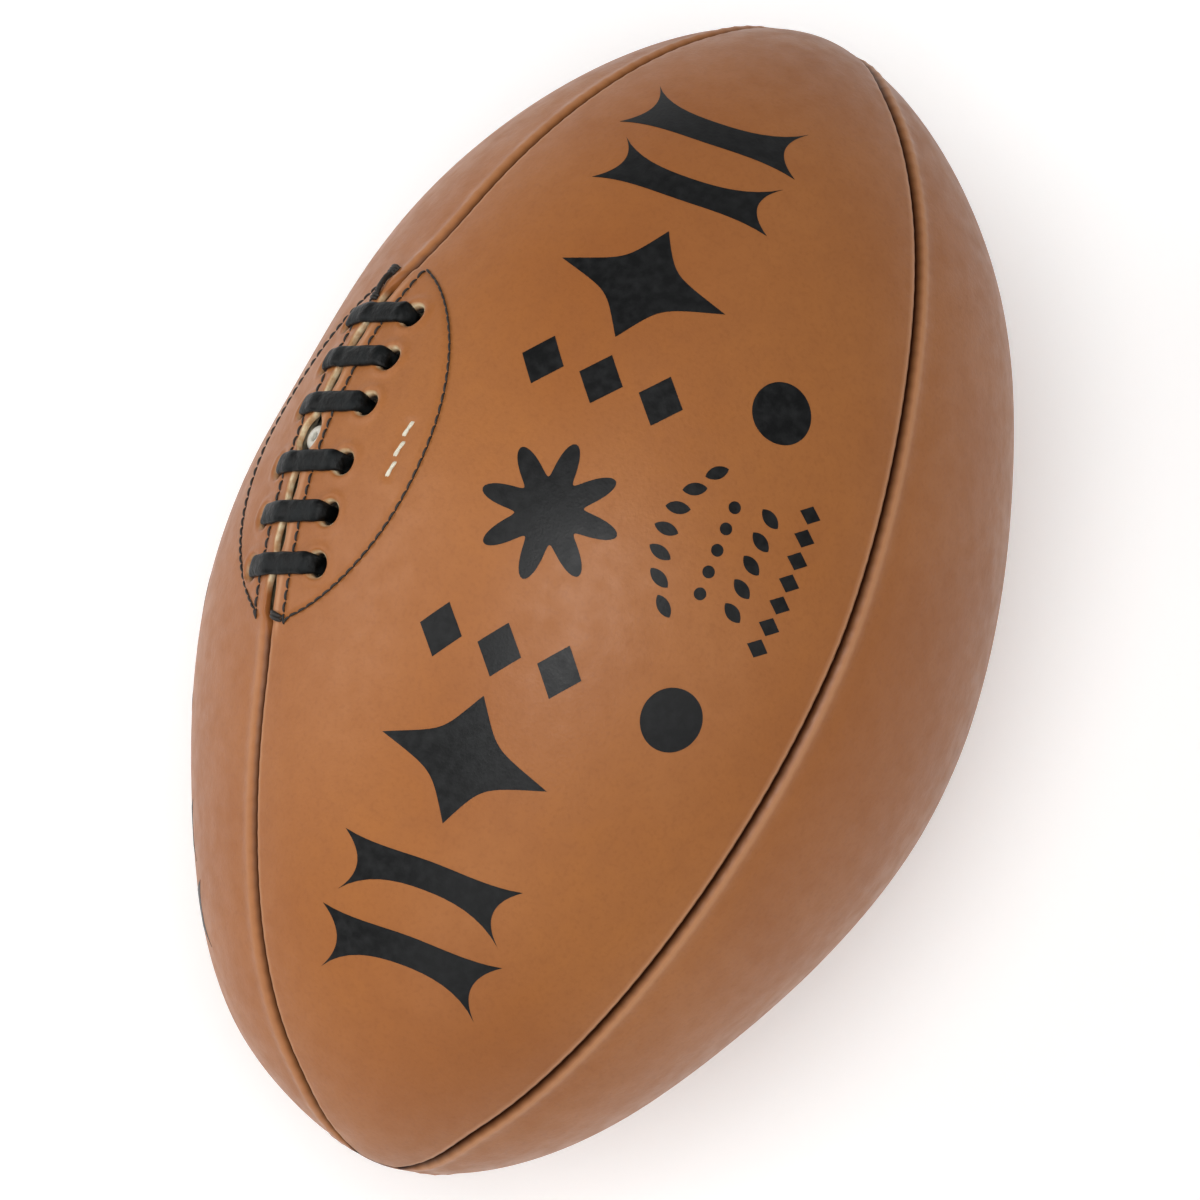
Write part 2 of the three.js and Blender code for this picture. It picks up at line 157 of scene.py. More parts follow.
# Where the lace's six bars cross the slit, and how far a bar's ends lean along the ball. The holes'
# distance from the seam's plane changes by HOLE_DRIFT for each millimetre along the ball.
BAR_PLACES = (-34.7, -22.7, -10.5, 4.7, 17.1, 29.5)
BAR_SKEW = 1.7
HOLE_RADIUS = 3.0
HOLE_OFFSET = {1: 10.5, -1: 13.6}
HOLE_DRIFT = {1: 0.06, -1: -0.045}
# Beside the laced seam the leather's columns follow the bowed lip for a stretch, then run straight
BOWED_STRETCH = 5.4
STRAIGHT_FROM = {1: 4.8, -1: 7.6}
FINE_UNTIL = 24
COARSE_UNTIL = 42

VALVE_X = -2.3
# The valve sits a little to the left of the slit's middle line
VALVE_SHIFT = -0.9
VALVE_CLEARANCE = 0.4
NOTCH_REACH = 5.2
NOTCH_DEPTH = {1: 3.0, -1: 4.7}
NOTCH_BLEND = 0.35

# The reinforcement's sewn outline, seen through the leather
FACING_CENTRE = -3.2
FACING_HALF_LENGTH = 46
FACING_HALF_WIDTH = 33
FACING_ROOT = 0.65
FACING_MARGIN = 2.5
# How far the reinforcement lifts the leather, how deep its thread sinks in, and how far the leather
# rises round a lace hole and falls at the hole's edge
FACING_RISE = 0.45
THREAD_DENT = 0.3
HOLE_RIM_RISE = 0.45
HOLE_EDGE_DENT = 0.55
ROW_OFFSET = 5.5

# Layers under the leather: heights of their tops below its surface
LINING_TOP = -2.5
LINING_THICKNESS = 0.6
FACING_TOP = -4.2
FACING_THICKNESS = 1.4
TONGUE_TOP = -8.1
TONGUE_THICKNESS = 1.5
TONGUE_LEFT = -14
TONGUE_RIGHT = 30
BLADDER_TOP = -7.4
BLADDER_THICKNESS = 0.8
BLADDER_DENT = 4.6

# The valve: a dome on a flange, with a stem below and a core in the stem
VALVE_LENGTH = 14.6
BOSS_TOP = -0.4
BOSS_RADIUS = 3.4
MOUTH_RADIUS = 1.1
FLANGE_RADIUS = 9
FLANGE_TOP = -10.4
STEM_RADIUS = 3.3
CORE_RADIUS = 1.9

THREAD_RADIUS = 0.3
THREAD_LOW = -0.3
THREAD_LIFT = 0.5
THREAD_PITCH = 2.8
# How much of its pitch each stitch covers, on the reinforcement's outline and beside the lips
OUTLINE_COVER = 0.93
ROW_COVER = 0.88
STITCH_STEPS = 9
STRAND_SIDES = 8
SEAM_THREAD_RADIUS = 0.4

# The slit's end tacks: where their strands start and end, as (x, distance)
UPPER_TACK_START = (-38.6, -7.4)
UPPER_TACK_END = (-48.4, -9.9)
LOWER_TACK_START = (40.4, 1.4)
LOWER_TACK_END = (41.2, 4.4)
BLACK_TACK_RADIUS = 0.6
BLACK_TACK_LIFT = 0.9
STRAND_STEP = 0.8
# The white tack that holds the tongue
TONGUE_STITCHES = 3
TONGUE_STITCH_START = (-10.6, 26.2)
TONGUE_STITCH_LENGTH = 4.2
TONGUE_STITCH_PITCH = 5.2
TONGUE_STITCH_DENT = 0.5
WHITE_TACK_RADIUS = 0.4

LACE_WIDTH = 5.3
LACE_THICKNESS = 1.9
LACE_UNDER = -6.85
LACE_TAIL = 11
# Height of a bar's middle over the leather, and how far the lace goes on inside before it turns up
LACE_OVER = 1.15
LACE_TURN = 1.8
# How far the lace lies from a hole's centre, against the wall nearer the slit
LACE_HUG = 1.6

# Ink: thin solids that stand a little above the leather and reach a little into it
PRINT_HEIGHT = 0.08
PRINT_DEPTH = 0.3
MARK_STEPS = 17
FRONT_BAND_HALF_WIDTH = 22
LEFT_BAND_HALF_WIDTH = 20
SPOT_RADIUS = 7.5
SPOTS = ((-42.8, 35.7), (34.2, 38.3))

SEAM_LACED = -math.pi / 4
SEAM_FRONT_RIGHT = math.pi / 4
SEAM_RIGHT_BACK = 3 * math.pi / 4
SEAM_BACK_LEFT = -3 * math.pi / 4


# ------------------------ the ball's surface


def smooth(low, high, value):
    t = np.clip((value - low) / (high - low), 0, 1)
    return t * t * (3 - 2 * t)


def mix(first, second, share):
    return first + (second - first) * share


def bell(value, width):
    return np.exp(-((value / width) ** 2))


def strip(distance, middle, width):
    return bell(distance - middle, width)


def side_by_side(*grids):
    return np.concatenate(grids, axis=1)


def between(x, start, full, fading, end):
    """1 on the stretch from full to fading, easing to 0 at start and at end."""
    return smooth(start, full, x) * (1 - smooth(fading, end, x))


def radius_at(x):
    t = np.minimum(np.abs(x) / HALF_LENGTH, 1)
    return MAX_RADIUS * (1 - t**OUTLINE_POWER) ** OUTLINE_ROOT


def slope_at(x):
    t = np.clip(np.abs(x) / HALF_LENGTH, 1e-9, 1 - 1e-7)
    root = OUTLINE_ROOT * (1 - t**OUTLINE_POWER) ** (OUTLINE_ROOT - 1)
    return -np.sign(x) * MAX_RADIUS * root * OUTLINE_POWER * t ** (OUTLINE_POWER - 1) / HALF_LENGTH


def axis_where(radius):
    return HALF_LENGTH * (1 - (radius / MAX_RADIUS) ** (1 / OUTLINE_ROOT)) ** (1 / OUTLINE_POWER)


def swell_at(x, angle):
    """How far the leather stands out from a perfectly round ball."""
    height = 0
    for middle_x, middle_turn, top, reach_along, reach_round in SWELLS:
        away = np.mod(angle - math.radians(middle_turn) + math.pi, TURN) - math.pi
        share = bell(x - middle_x, reach_along) * bell(away, math.radians(reach_round))
        height = height + top * share
    return height * smooth(*SWELL_FADE, radius_at(x))


def on_ball(x, angle, height):
    """Points at a height above the surface, at x along the axis and an angle from +Z towards +Y."""
    slope = slope_at(x)
    length = np.hypot(1, slope)
    height = height + swell_at(x, angle)
    radius = radius_at(x) + height / length
    along = x - height * slope / length
    places = np.broadcast_arrays(along, radius * np.sin(angle), radius * np.cos(angle))
    return np.stack(places, axis=-1)


def beside_seam(x, distance, height, seam=SEAM_LACED):
    return on_ball(x, seam + distance / radius_at(x), height)


def march(start, end, spacing_at):
    """Places along the axis whose gaps along the surface are spacing_at(x)."""
    places = [start]
    while places[-1] < end:
        x = places[-1]
        places.append(x + spacing_at(x) / math.hypot(1, slope_at(x)))
    places = np.array(places)
    return start + (places - start) * (end - start) / (places[-1] - start)


def arc_length_table():
    xs = HALF_LENGTH * np.sin(np.linspace(-math.pi / 2, math.pi / 2, 4001))
    steps = np.hypot(np.diff(xs), np.diff(radius_at(xs)))
    return xs, np.concatenate([[0], np.cumsum(steps)])


ARC_XS, ARC_LENGTHS = arc_length_table()


def arc_at(x):
    return np.interp(x, ARC_XS, ARC_LENGTHS)


def bow_at(x):
    reach = np.where(x < SLIT_BOW_CENTRE, BOW_REACH_START, BOW_REACH_END)
    t = np.minimum(np.abs(x - SLIT_BOW_CENTRE) / reach, 1)
    return -SLIT_BOW * np.cos(t * math.pi / 2) ** 2


def slit_share(x):
    """1 where the laced seam is an open slit, 0 where it is sewn."""
    first, last = SLIT_START + SLIT_FADE, SLIT_END - SLIT_FADE
    return between(x, SLIT_START - SLIT_FADE, first, last, SLIT_END + SLIT_FADE)


def tip_spread(x):
    """How far the front and back panels spread at a tip, as an angle."""
    radius = radius_at(x)
    fade = 1 - smooth(TIP_SEAM_LENGTH, TIP_SEAM_FADE, radius)
    offset = TIP_SEAM_LENGTH / 2 * math.sqrt(0.5) * fade
    ratio = np.minimum(offset / np.maximum(radius, 1e-6), math.sqrt(0.5))
    return np.arcsin(ratio)


def facing_distance(x, distance):
    """Roughly how far a place is inside (+) or outside (-) the reinforcement's outline."""
    t = (x - FACING_CENTRE) / FACING_HALF_LENGTH
    across = np.abs(distance) / FACING_HALF_WIDTH
    value = 1 - t**2 - across ** (1 / FACING_ROOT)
    slope_x = 2 * np.abs(t) / FACING_HALF_LENGTH
    slope_across = across ** (1 / FACING_ROOT - 1) / FACING_ROOT / FACING_HALF_WIDTH
    return value / np.maximum(np.hypot(slope_x, slope_across), 1e-3)


def hole_distance_at(bar, side):
    return side * (HOLE_OFFSET[side] + HOLE_DRIFT[side] * bar)


def hole_places(side):
    return [(bar - side * BAR_SKEW, hole_distance_at(bar, side)) for bar in BAR_PLACES]


def from_holes(x, distance, side):
    """How far places are from the centre of each lace hole on one side."""
    return [np.hypot(x - hole_x, distance - hole_d) for hole_x, hole_d in hole_places(side)]


def valve_place():
    return VALVE_X, bow_at(VALVE_X) + VALVE_SHIFT


# ------------------------ meshes


def add_object(name, data):
    made = bpy.data.objects.new(name, data)
    bpy.context.scene.collection.objects.link(made)
    return made


def make_mesh(name, points, faces, smooth_angle=50, **attributes):
    """A mesh from points in millimetres and faces of one size; attributes are values per point."""
    mesh = bpy.data.meshes.new(name)
    corners = faces.shape[1]
    mesh.vertices.add(len(points))
    mesh.vertices.foreach_set("co", (np.asarray(points) * MM).astype(np.float32).ravel())
    mesh.loops.add(faces.size)
    mesh.loops.foreach_set("vertex_index", faces.astype(np.int32).ravel())
    mesh.polygons.add(len(faces))
    mesh.polygons.foreach_set("loop_start", np.arange(0, faces.size, corners, dtype=np.int32))
    mesh.update(calc_edges=True)
    mesh.validate()
    for key, values in attributes.items():
        attribute = mesh.attributes.new(key, "FLOAT", "POINT")
        attribute.data.foreach_set("value", np.asarray(values, dtype=np.float32).ravel())
    mesh.shade_smooth()
    mesh.set_sharp_from_angle(angle=math.radians(smooth_angle))
    return add_object(name, mesh)


def shell_faces(rows, columns, keep=None):
    """Faces of a closed shell between an outer grid and an inner grid of the same size."""
    if keep is None:
        keep = np.ones((rows - 1, columns - 1), bool)
    index = np.arange(rows * columns).reshape(rows, columns)
    corners = (index[:-1, :-1], index[1:, :-1], index[1:, 1:], index[:-1, 1:])
    quads = np.stack([corner[keep] for corner in corners], axis=-1)
    inside = quads[:, ::-1] + rows * columns
    padded = np.pad(keep, 1)
    beside = (padded[1:-1, :-2], padded[2:, 1:-1], padded[1:-1, 2:], padded[:-2, 1:-1])
    walls = []
    for edge in range(4):
        open_edge = keep & ~beside[edge]
        first = corners[edge][open_edge]
        second = corners[(edge + 1) % 4][open_edge]
        across = rows * columns
        walls.append(np.stack([second, first, first + across, second + across], axis=-1))
    return np.concatenate([quads, inside, *walls])


def make_shell(name, outer, inner, keep=None, flip=False, **attributes):
    """A closed shell; an attribute is given as a pair of grids, for outside and inside."""
    rows, columns = outer.shape[:2]
    faces = shell_faces(rows, columns, keep)
    points = np.concatenate([outer.reshape(-1, 3), inner.reshape(-1, 3)])
    used = np.zeros(len(points), bool)
    used[faces.ravel()] = True
    renumbered = np.cumsum(used) - 1
    faces = renumbered[faces]
    if flip:
        faces = faces[:, ::-1]
    values = {}
    for key, (outside, inside) in attributes.items():
        values[key] = np.concatenate([outside.ravel(), inside.ravel()])[used]
    return make_mesh(name, points[used], faces, **values)


def sweep_faces(steps, sides):
    """Faces of one closed sweep: a ring of points at each step, and a cap at either end."""
    index = np.arange(steps * sides).reshape(steps, sides)
    turned = np.roll(index, -1, axis=1)
    quads = np.stack([index[:-1], turned[:-1], turned[1:], index[1:]], axis=-1).reshape(-1, 4)
    first, last = index[0], index[-1]
    caps = []
    for i in range(sides // 2 - 1):
        near, far = i, sides - 1 - i
        caps.append([first[near], first[far], first[far - 1], first[near + 1]])
        caps.append([last[near + 1], last[far - 1], last[far], last[near]])
    return np.concatenate([quads, np.array(caps)])


def make_sweeps(name, rings, smooth_angle=60):
    """Separate closed sweeps joined in one mesh; rings has shape (sweeps, steps, sides, 3)."""
    sweeps, steps, sides = rings.shape[:3]
    offsets = np.arange(sweeps)[:, None, None] * steps * sides
    faces = (sweep_faces(steps, sides)[None] + offsets).reshape(-1, 4)
    return make_mesh(name, rings.reshape(-1, 3), faces, smooth_angle)


def unit(rows):
    return rows / np.linalg.norm(rows, axis=-1, keepdims=True)


def square_to(rows, ahead):
    """Unit rows turned to stand at right angles to the unit rows ahead."""
    return unit(rows - ahead * np.sum(rows * ahead, axis=-1, keepdims=True))


def strand_rings(paths, radii):
    """Rings round strands that lie on the ball: paths has shape (strands, steps, 3)."""
    ahead = unit(np.gradient(paths, axis=1))
    outward = square_to(paths * np.array([0.3, 1, 1]), ahead)
    aside = np.cross(ahead, outward)
    turns = np.arange(STRAND_SIDES) / STRAND_SIDES * TURN
    ring = outward[:, :, None] * np.cos(turns)[:, None] + aside[:, :, None] * np.sin(turns)[:, None]
    return paths[:, :, None] + ring * np.reshape(radii, (1, -1, 1, 1))


# ------------------------ panels


def narrowing(room):
    """How far a panel's edge shrinks where the panel narrows towards its tips."""
    return np.minimum(1, room / NARROW_PANEL)


def edge_profiles(x, side, rounding, room):
    """The rounded edge of a panel: distances from the seam's line and heights, outside and inside.

    A plain seam turns inwards as a flange. In the slit (side +1 or -1) the edge is a cut lip instead.
    """
    turns = np.linspace(0, math.pi / 2, 6)
    depth = mix(TIP_FLANGE_DEPTH, FLANGE_DEPTH, smooth(8, 20, radius_at(x)))[:, None]
    fit = narrowing(room)[:, None]
    ones = np.ones_like(depth)

    def joined(*columns):
        return side_by_side(*[column * ones for column in columns])

    bend = 1 - np.cos(turns)
    rise = 1 - np.sin(turns)
    plain_d = SEAM_GAP + joined(np.array([0, 0]), rounding * bend) * fit
    plain_h = joined(-depth, -(depth + rounding) / 2, -rounding * rise * fit)
    inner_round = 0.6
    plain_inner_d = SEAM_GAP + joined(np.array([0, 0]), inner_round * bend) * fit
    plain_inner_d = plain_inner_d + LEATHER_THICKNESS * fit
    middle = -(depth + LEATHER_THICKNESS + inner_round) / 2
    plain_inner_h = joined(-depth, middle, -LEATHER_THICKNESS - inner_round * rise * fit)
    if not side:
        return plain_d, plain_h, plain_inner_d, plain_inner_h

    share = slit_share(x)[:, None]
    lip_d = joined(np.array([0.15, 0.05]), LIP_ROUND[side] * bend)
    lip_h = joined(np.array([-1.85, -1.2]), -LIP_ROUND[side] * rise)
    lip_inner_d = joined(np.linspace(0.35, 0.8, 8))
    lip_inner_h = joined(np.full(8, -LEATHER_THICKNESS))
    edge = lip_edge(x, side)[:, None] - SEAM_GAP * (1 - share)
    return (
        edge + mix(plain_d, lip_d, share),
        mix(plain_h, lip_h, share),
        edge + mix(plain_inner_d, lip_inner_d, share),
        mix(plain_inner_h, lip_inner_h, share),
    )


def lip_edge(x, side):
    """How far the laced seam's edge lies from the seam's plane, into the panel on that side."""
    from_bar = np.min(np.abs(x[..., None] - np.array(BAR_PLACES)), axis=-1)
    gap = LIP_GAP + LIP_GAP_BETWEEN_BARS * smooth(1.5, 6, from_bar)
    edge = side * bow_at(x) + mix(SEAM_GAP, gap, slit_share(x))
    t = np.clip(np.abs(x - VALVE_X) / NOTCH_REACH, 0, 1)
    notch = side * bow_at(VALVE_X) + NOTCH_DEPTH[side] * (1 - t**2.2) ** 0.8
    apart = np.abs(edge - notch) / NOTCH_BLEND
    rounded = np.maximum(edge, notch) + NOTCH_BLEND * np.log(1 + np.exp(-apart))
    return np.where(t < 1, rounded, edge)


def plain_columns(rounding, room):
    """Distances of the ten columns that fan out from a plain seam's rounded edge."""
    reach = np.minimum(21, 0.33 * room)
    start = rounding * narrowing(room) + SEAM_GAP
    t = np.linspace(0, 1, 11)[1:] ** 1.7
    return start[:, None] + (reach - start)[:, None] * t


def laced_columns(x, side, rounding, room):
    """Distances of the columns beside the laced seam: a bowed zone, then straight lines."""
    edge = lip_edge(x, side) + mix(rounding * narrowing(room), LIP_ROUND[side], slit_share(x))
    scale = np.minimum(1, 0.6 * room / COARSE_UNTIL)
    straight = STRAIGHT_FROM[side]
    first = np.maximum(straight * scale, edge + 1.4 * scale)
    push = first - straight * scale
    bowed_count = round(BOWED_STRETCH / CELL)
    t = np.linspace(0, 1, bowed_count + 1)[1:-1]
    bowed = mix(edge[:, None], first[:, None], t)
    fine = np.arange(straight, FINE_UNTIL, CELL)
    coarse = np.arange(fine[-1] + 1.5 * CELL, COARSE_UNTIL, 1.5 * CELL)
    lines = np.concatenate([fine, coarse])
    fading = 1 - smooth(straight, straight + 10, lines)
    return side_by_side(bowed, lines * scale[:, None] + push[:, None] * fading)


def open_holes(x, distance, places, hole_radius, cell):
    """Bends a grid's cells round holes, to 2.4 mm past each. Returns which faces stay."""
    keep = np.ones((x.shape[0] - 1, x.shape[1] - 1), bool)
    ring = round(hole_radius / cell)
    reach = ring + round(2.4 / cell)
    flat_x, flat_distance = x.copy(), distance.copy()
    steps = np.arange(-reach, reach + 1)
    for hole_x, hole_distance in places:
        middle_column = np.argmin(np.abs(flat_distance[x.shape[0] // 2] - hole_distance))
        row = np.argmin(np.abs(flat_x[:, middle_column] - hole_x))
        column = np.argmin(np.abs(flat_distance[row] - hole_distance))
        for i in steps:
            for j in steps:
                level = max(abs(i), abs(j))
                if level == 0:
                    continue
                if abs(i) >= abs(j):
                    turn = math.pi / 4 * j / i + (0 if i > 0 else math.pi)
                else:
                    turn = math.pi / 2 - math.pi / 4 * i / j + (0 if j > 0 else math.pi)
                radius = hole_radius * level / ring
                share = float(smooth(ring, reach, level))
                place = (row + i, column + j)
                sign = np.sign(flat_distance[row, column + 1] - flat_distance[row, column])
                round_x = hole_x + radius * math.cos(turn)
                round_distance = hole_distance + sign * radius * math.sin(turn)
                x[place] = mix(round_x, flat_x[place], share)
                distance[place] = mix(round_distance, flat_distance[place], share)
        keep[row - ring:row + ring, column - ring:column + ring] = False
    return keep


def opening_relief(x, distance, fine):
    """Heights round the laced opening: raised lips, the sewn outline and the holes' rims."""
    side = np.where(distance > bow_at(x), 1, -1)
    along = between(x, -62, -40, 34, 58)
    lip_height = np.where(side > 0, LIP_HEIGHT[1], LIP_HEIGHT[-1])
    from_lip = np.abs(distance - bow_at(x))
    height = lip_height * along * bell(from_lip, 8)
    inside = facing_distance(x, distance)
    height = height + FACING_RISE * smooth(-1.5, 1.5, inside)
    stitched = strip(distance, TONGUE_STITCH_START[1] - 0.5, 1.6)
    height = height - TONGUE_STITCH_DENT * between(x, -12, -9, 3, 6) * stitched
    if not fine:
        return height
    rows = between(x, -47, -44, 38, 42) * strip(from_lip, ROW_OFFSET, 0.7)
    height = height - THREAD_DENT * (bell(inside, 0.8) + rows)
    for away in (*from_holes(x, distance, 1), *from_holes(x, distance, -1)):
        height = height + HOLE_RIM_RISE * strip(away, HOLE_RADIUS + 1.2, 1.1)
        height = height - HOLE_EDGE_DENT * strip(away, HOLE_RADIUS, 0.45)
    return height


def seam_relief(x, distance, ridge):
    """Heights beside a sewn seam: the leather dips to it and puckers at its stitches."""
    phase = TURN * arc_at(x) / STITCH_PITCH
    puff = (0.5 + 0.5 * np.cos(phase)) ** 2 - 0.4
    height = -SEAM_DIP * bell(distance, 6)
    if ridge:
        height = height + RIDGE_HEIGHT * strip(distance, *RIDGE_STRIP)
    pucker = RIDGE_PUCKER if ridge else FLAT_PUCKER
    height = height + pucker * puff * strip(distance, *PUCKER_STRIP)
    return height * smooth(*SEAM_FADE, radius_at(x))


def edge_columns(x, side, rounding, room):
    """One edge of a panel, column by column from the seam inwards."""
    distance, height, inner_distance, inner_height = edge_profiles(x, side, rounding, room)
    if side:
        more = laced_columns(x, side, rounding, room)
    else:
        more = plain_columns(rounding, room)
    inner_more = np.maximum(more, inner_distance[:, -1:])
    flat = np.zeros_like(more)
    start, end = RAW_EDGE_START - RAW_EDGE_FADE, RAW_EDGE_END + RAW_EDGE_FADE
    raw = between(x, start, RAW_EDGE_START, RAW_EDGE_END, end)
    return {
        "distance": side_by_side(distance, more),
        "height": side_by_side(height, flat),
        "inner_distance": side_by_side(inner_distance, inner_more),
        "inner_height": side_by_side(inner_height, flat - LEATHER_THICKNESS),
        "pale": side_by_side(raw[:, None] * LIP_PALENESS[side], flat),
    }


def hole_paleness(x, distance, side):
    """The raw rims of the lace holes."""
    nearest = np.min(from_holes(x, distance, side), axis=0)
    return (nearest < HOLE_RADIUS + 0.1) * HOLE_PALENESS[side]


def panel_shell(name, reference, sides, ridge):
    """One leather panel, from its first to its last edge: each is a seam's line and its lace side."""
    rounding = RIDGE_ROUND if ridge else FLAT_ROUND
    end = axis_where(SIDE_PANEL_END_RADIUS if ridge else TIP_END_RADIUS)
    is_laced = any(side for _, side in sides)
    x = march(-end, end, laced_panel_spacing if is_laced else plain_panel_spacing)
    middle_count = 22 if is_laced else 24
    starts, ends = [((line(x) - reference) * radius_at(x))[:, None] for line, _ in sides]
    room = (ends - starts)[:, 0]
    first, last = [edge_columns(x, side, rounding, room) for _, side in sides]

    def across(key):
        near = starts + first[key]
        far = (ends - last[key])[:, ::-1]
        t = np.linspace(0, 1, middle_count + 2)[1:-1]
        return side_by_side(near, mix(near[:, -1:], far[:, :1], t), far)

    def over(key, middle):
        filled = np.full((len(x), middle_count), middle)
        return side_by_side(first[key], filled, last[key][:, ::-1])

    outer = across("distance")
    inner = across("inner_distance")
    height = over("height", 0.0)
    inner_height = over("inner_height", -LEATHER_THICKNESS)
    pale = over("pale", 0.0)
    outer_x = np.repeat(x[:, None], outer.shape[1], axis=1)
    inner_x = outer_x.copy()
    keep = None
    for _, side in sides:
        if side:
            keep = open_holes(outer_x, outer, hole_places(side), HOLE_RADIUS, CELL)
            open_holes(inner_x, inner, hole_places(side), HOLE_RADIUS, CELL)
            height = height + opening_relief(outer_x, outer, True)
            inner_height = inner_height + opening_relief(inner_x, inner, False)
            pale = np.maximum(pale, hole_paleness(outer_x, outer, side))

    groove = np.zeros_like(outer)
    worn = np.zeros_like(outer)
    for (_, side), distance in zip(sides, (outer - starts, ends - outer)):
        sewn = 1 - slit_share(outer_x) if side else 1
        inwards = distance - side * bow_at(outer_x)
        height = height + sewn * seam_relief(outer_x, inwards, ridge)
        # Painted shade: a dark colour laid along each sewn seam's groove
        width = LACED_GROOVE_SHADE_WIDTH if side else GROOVE_SHADE_WIDTH
        groove = np.maximum(groove, sewn * bell(inwards, width))
        # Pale strips along the edges: painted highlight, on the side panels' ridges partly wear
        highlight_band = strip(inwards, *(RIDGE_WEAR_HIGHLIGHT_STRIP if ridge else FLAT_HIGHLIGHT_STRIP))
        share = LACED_SEAM_HIGHLIGHT if side else 1
        worn = np.maximum(worn, share * sewn * highlight_band * smooth(*SEAM_FADE, radius_at(outer_x)))
        if side > 0:
            # Painted highlight along the front panel's lip, where the slit is open
            highlight_band = strip(inwards, *LIP_HIGHLIGHT_STRIP)
            worn = np.maximum(worn, LIP_HIGHLIGHT * slit_share(outer_x) * highlight_band)
    return make_shell(
        name,
        on_ball(outer_x, reference + outer / radius_at(outer_x), height),
        on_ball(inner_x, reference + inner / radius_at(inner_x), inner_height),
        keep,
        flip=True,
        pale=(pale, np.zeros_like(pale)),
        groove=(groove, np.ones_like(groove)),
        worn=(worn, np.zeros_like(worn)),
    )


def laced_panel_spacing(x):
    return mix(LACED_PANEL_SPACING, CELL, between(x, -56, -53, 47, 50))


def plain_panel_spacing(x):
    return PLAIN_PANEL_SPACING


def seam_line(middle, way):
    """A seam's angle as a function of x: the front and back panels spread at the tips."""
    return lambda x: middle + way * tip_spread(x)


# ------------------------ materials


def colour(red, green, blue):
    """A colour given as it looks on a screen, 0 to 255, as linear numbers."""
    channels = [value / 255 for value in (red, green, blue)]
    return (*[c / 12.92 if c <= 0.04045 else ((c + 0.055) / 1.055) ** 2.4 for c in channels], 1.0)


class Look:
    """A procedural material in the making: its nodes, its shader, and a few short-hands."""

    def __init__(self, name, roughness, specular=0.5):
        self.material = bpy.data.materials.new(name)
        self.material.use_nodes = True
        self.nodes = self.material.node_tree.nodes
        self.links = self.material.node_tree.links
        self.shader = self.nodes["Principled BSDF"]
        self.shader.inputs["Roughness"].default_value = roughness
        self.shader.inputs["Specular IOR Level"].default_value = specular
        self.place = self.nodes.new("ShaderNodeTexCoord").outputs["Object"]

    def join(self, source, target):
        if isinstance(source, (int, float, tuple)):
            target.default_value = source
        else:
            self.links.new(source, target)

    def made(self, kind, output, **inputs):
        """One output of a new node; an input's name has _ in place of a space."""
        node = self.nodes.new(kind)
        for name, source in inputs.items():
            self.join(source, node.inputs[name.replace("_", " ")])
        return node.outputs[output]

    def noise(self, scale, detail=3, stretch=None):
        place = self.place
        if stretch:
            place = self.made("ShaderNodeMapping", "Vector", Scale=stretch, Vector=place)
        return self.made("ShaderNodeTexNoise", "Fac", Scale=scale, Detail=detail, Vector=place)

    def cells(self, scale):
        return self.made("ShaderNodeTexVoronoi", "Distance", Scale=scale, Vector=self.place)

    def ranged(self, value, low, high, to_low=0.0, to_high=1.0):
        return self.made(
            "ShaderNodeMapRange", "Result",
            Value=value, From_Min=low, From_Max=high, To_Min=to_low, To_Max=to_high,
        )

    def blended(self, share, first, second):
        node = self.nodes.new("ShaderNodeMix")
        node.data_type = "RGBA"
        self.join(share, node.inputs["Factor"])
        self.join(first, node.inputs[6])
        self.join(second, node.inputs[7])
        return node.outputs[2]

    def sum(self, first, second, second_share):
        node = self.nodes.new("ShaderNodeMath")
        node.operation = "MULTIPLY_ADD"
        self.join(second, node.inputs[0])
        node.inputs[1].default_value = second_share
        self.join(first, node.inputs[2])
        return node.outputs["Value"]

    def attribute(self, name):
        node = self.nodes.new("ShaderNodeAttribute")
        node.attribute_name = name
        return node.outputs["Fac"]

    def bump(self, height, distance, strength):
        source = self.made(
            "ShaderNodeBump", "Normal", Strength=strength, Distance=distance, Height=height
        )
        self.join(source, self.shader.inputs["Normal"])

    def paint(self, source):
        self.join(source, self.shader.inputs["Base Color"])

    def rough(self, source):
        self.join(source, self.shader.inputs["Roughness"])


def tan_leather():
    look = Look("tan_leather", 0.45, 0.3)
    broad = look.ranged(look.noise(16, 3), 0.35, 0.65)
    fine = look.ranged(look.noise(190, 4), 0.35, 0.7)
    hide = look.blended(broad, colour(171, 108, 58), colour(162, 99, 51))
    hide = look.blended(look.ranged(fine, 0, 1, 0, 0.15), hide, colour(134, 78, 38))
    speckle = look.ranged(look.noise(900, 3), 0.5, 0.7, 0, 0.16)
    hide = look.blended(speckle, hide, colour(128, 74, 38))
    # Pale seam edges and front lip: painted highlight, on the ridges partly wear
    worn = look.ranged(look.attribute("worn"), 0, 1, 0, 0.4)
    hide = look.blended(worn, hide, colour(222, 172, 134))
    # Painted shade along the seams' grooves
    groove = look.ranged(look.attribute("groove"), 0.1, 0.8, 0, 0.95)
    hide = look.blended(groove, hide, colour(48, 18, 8))
    fibres = look.ranged(look.noise(420, 4), 0.35, 0.65)
    raw = look.blended(fibres, colour(200, 156, 112), colour(238, 222, 184))
    look.paint(look.blended(look.attribute("pale"), hide, raw))
    grain = look.sum(look.noise(1500, 2), look.cells(900), 0.5)
    look.bump(look.sum(grain, look.noise(260, 2), 0.8), 0.00012, 0.35)
    look.rough(look.ranged(fine, 0, 1, 0.4, 0.52))
    return look.material


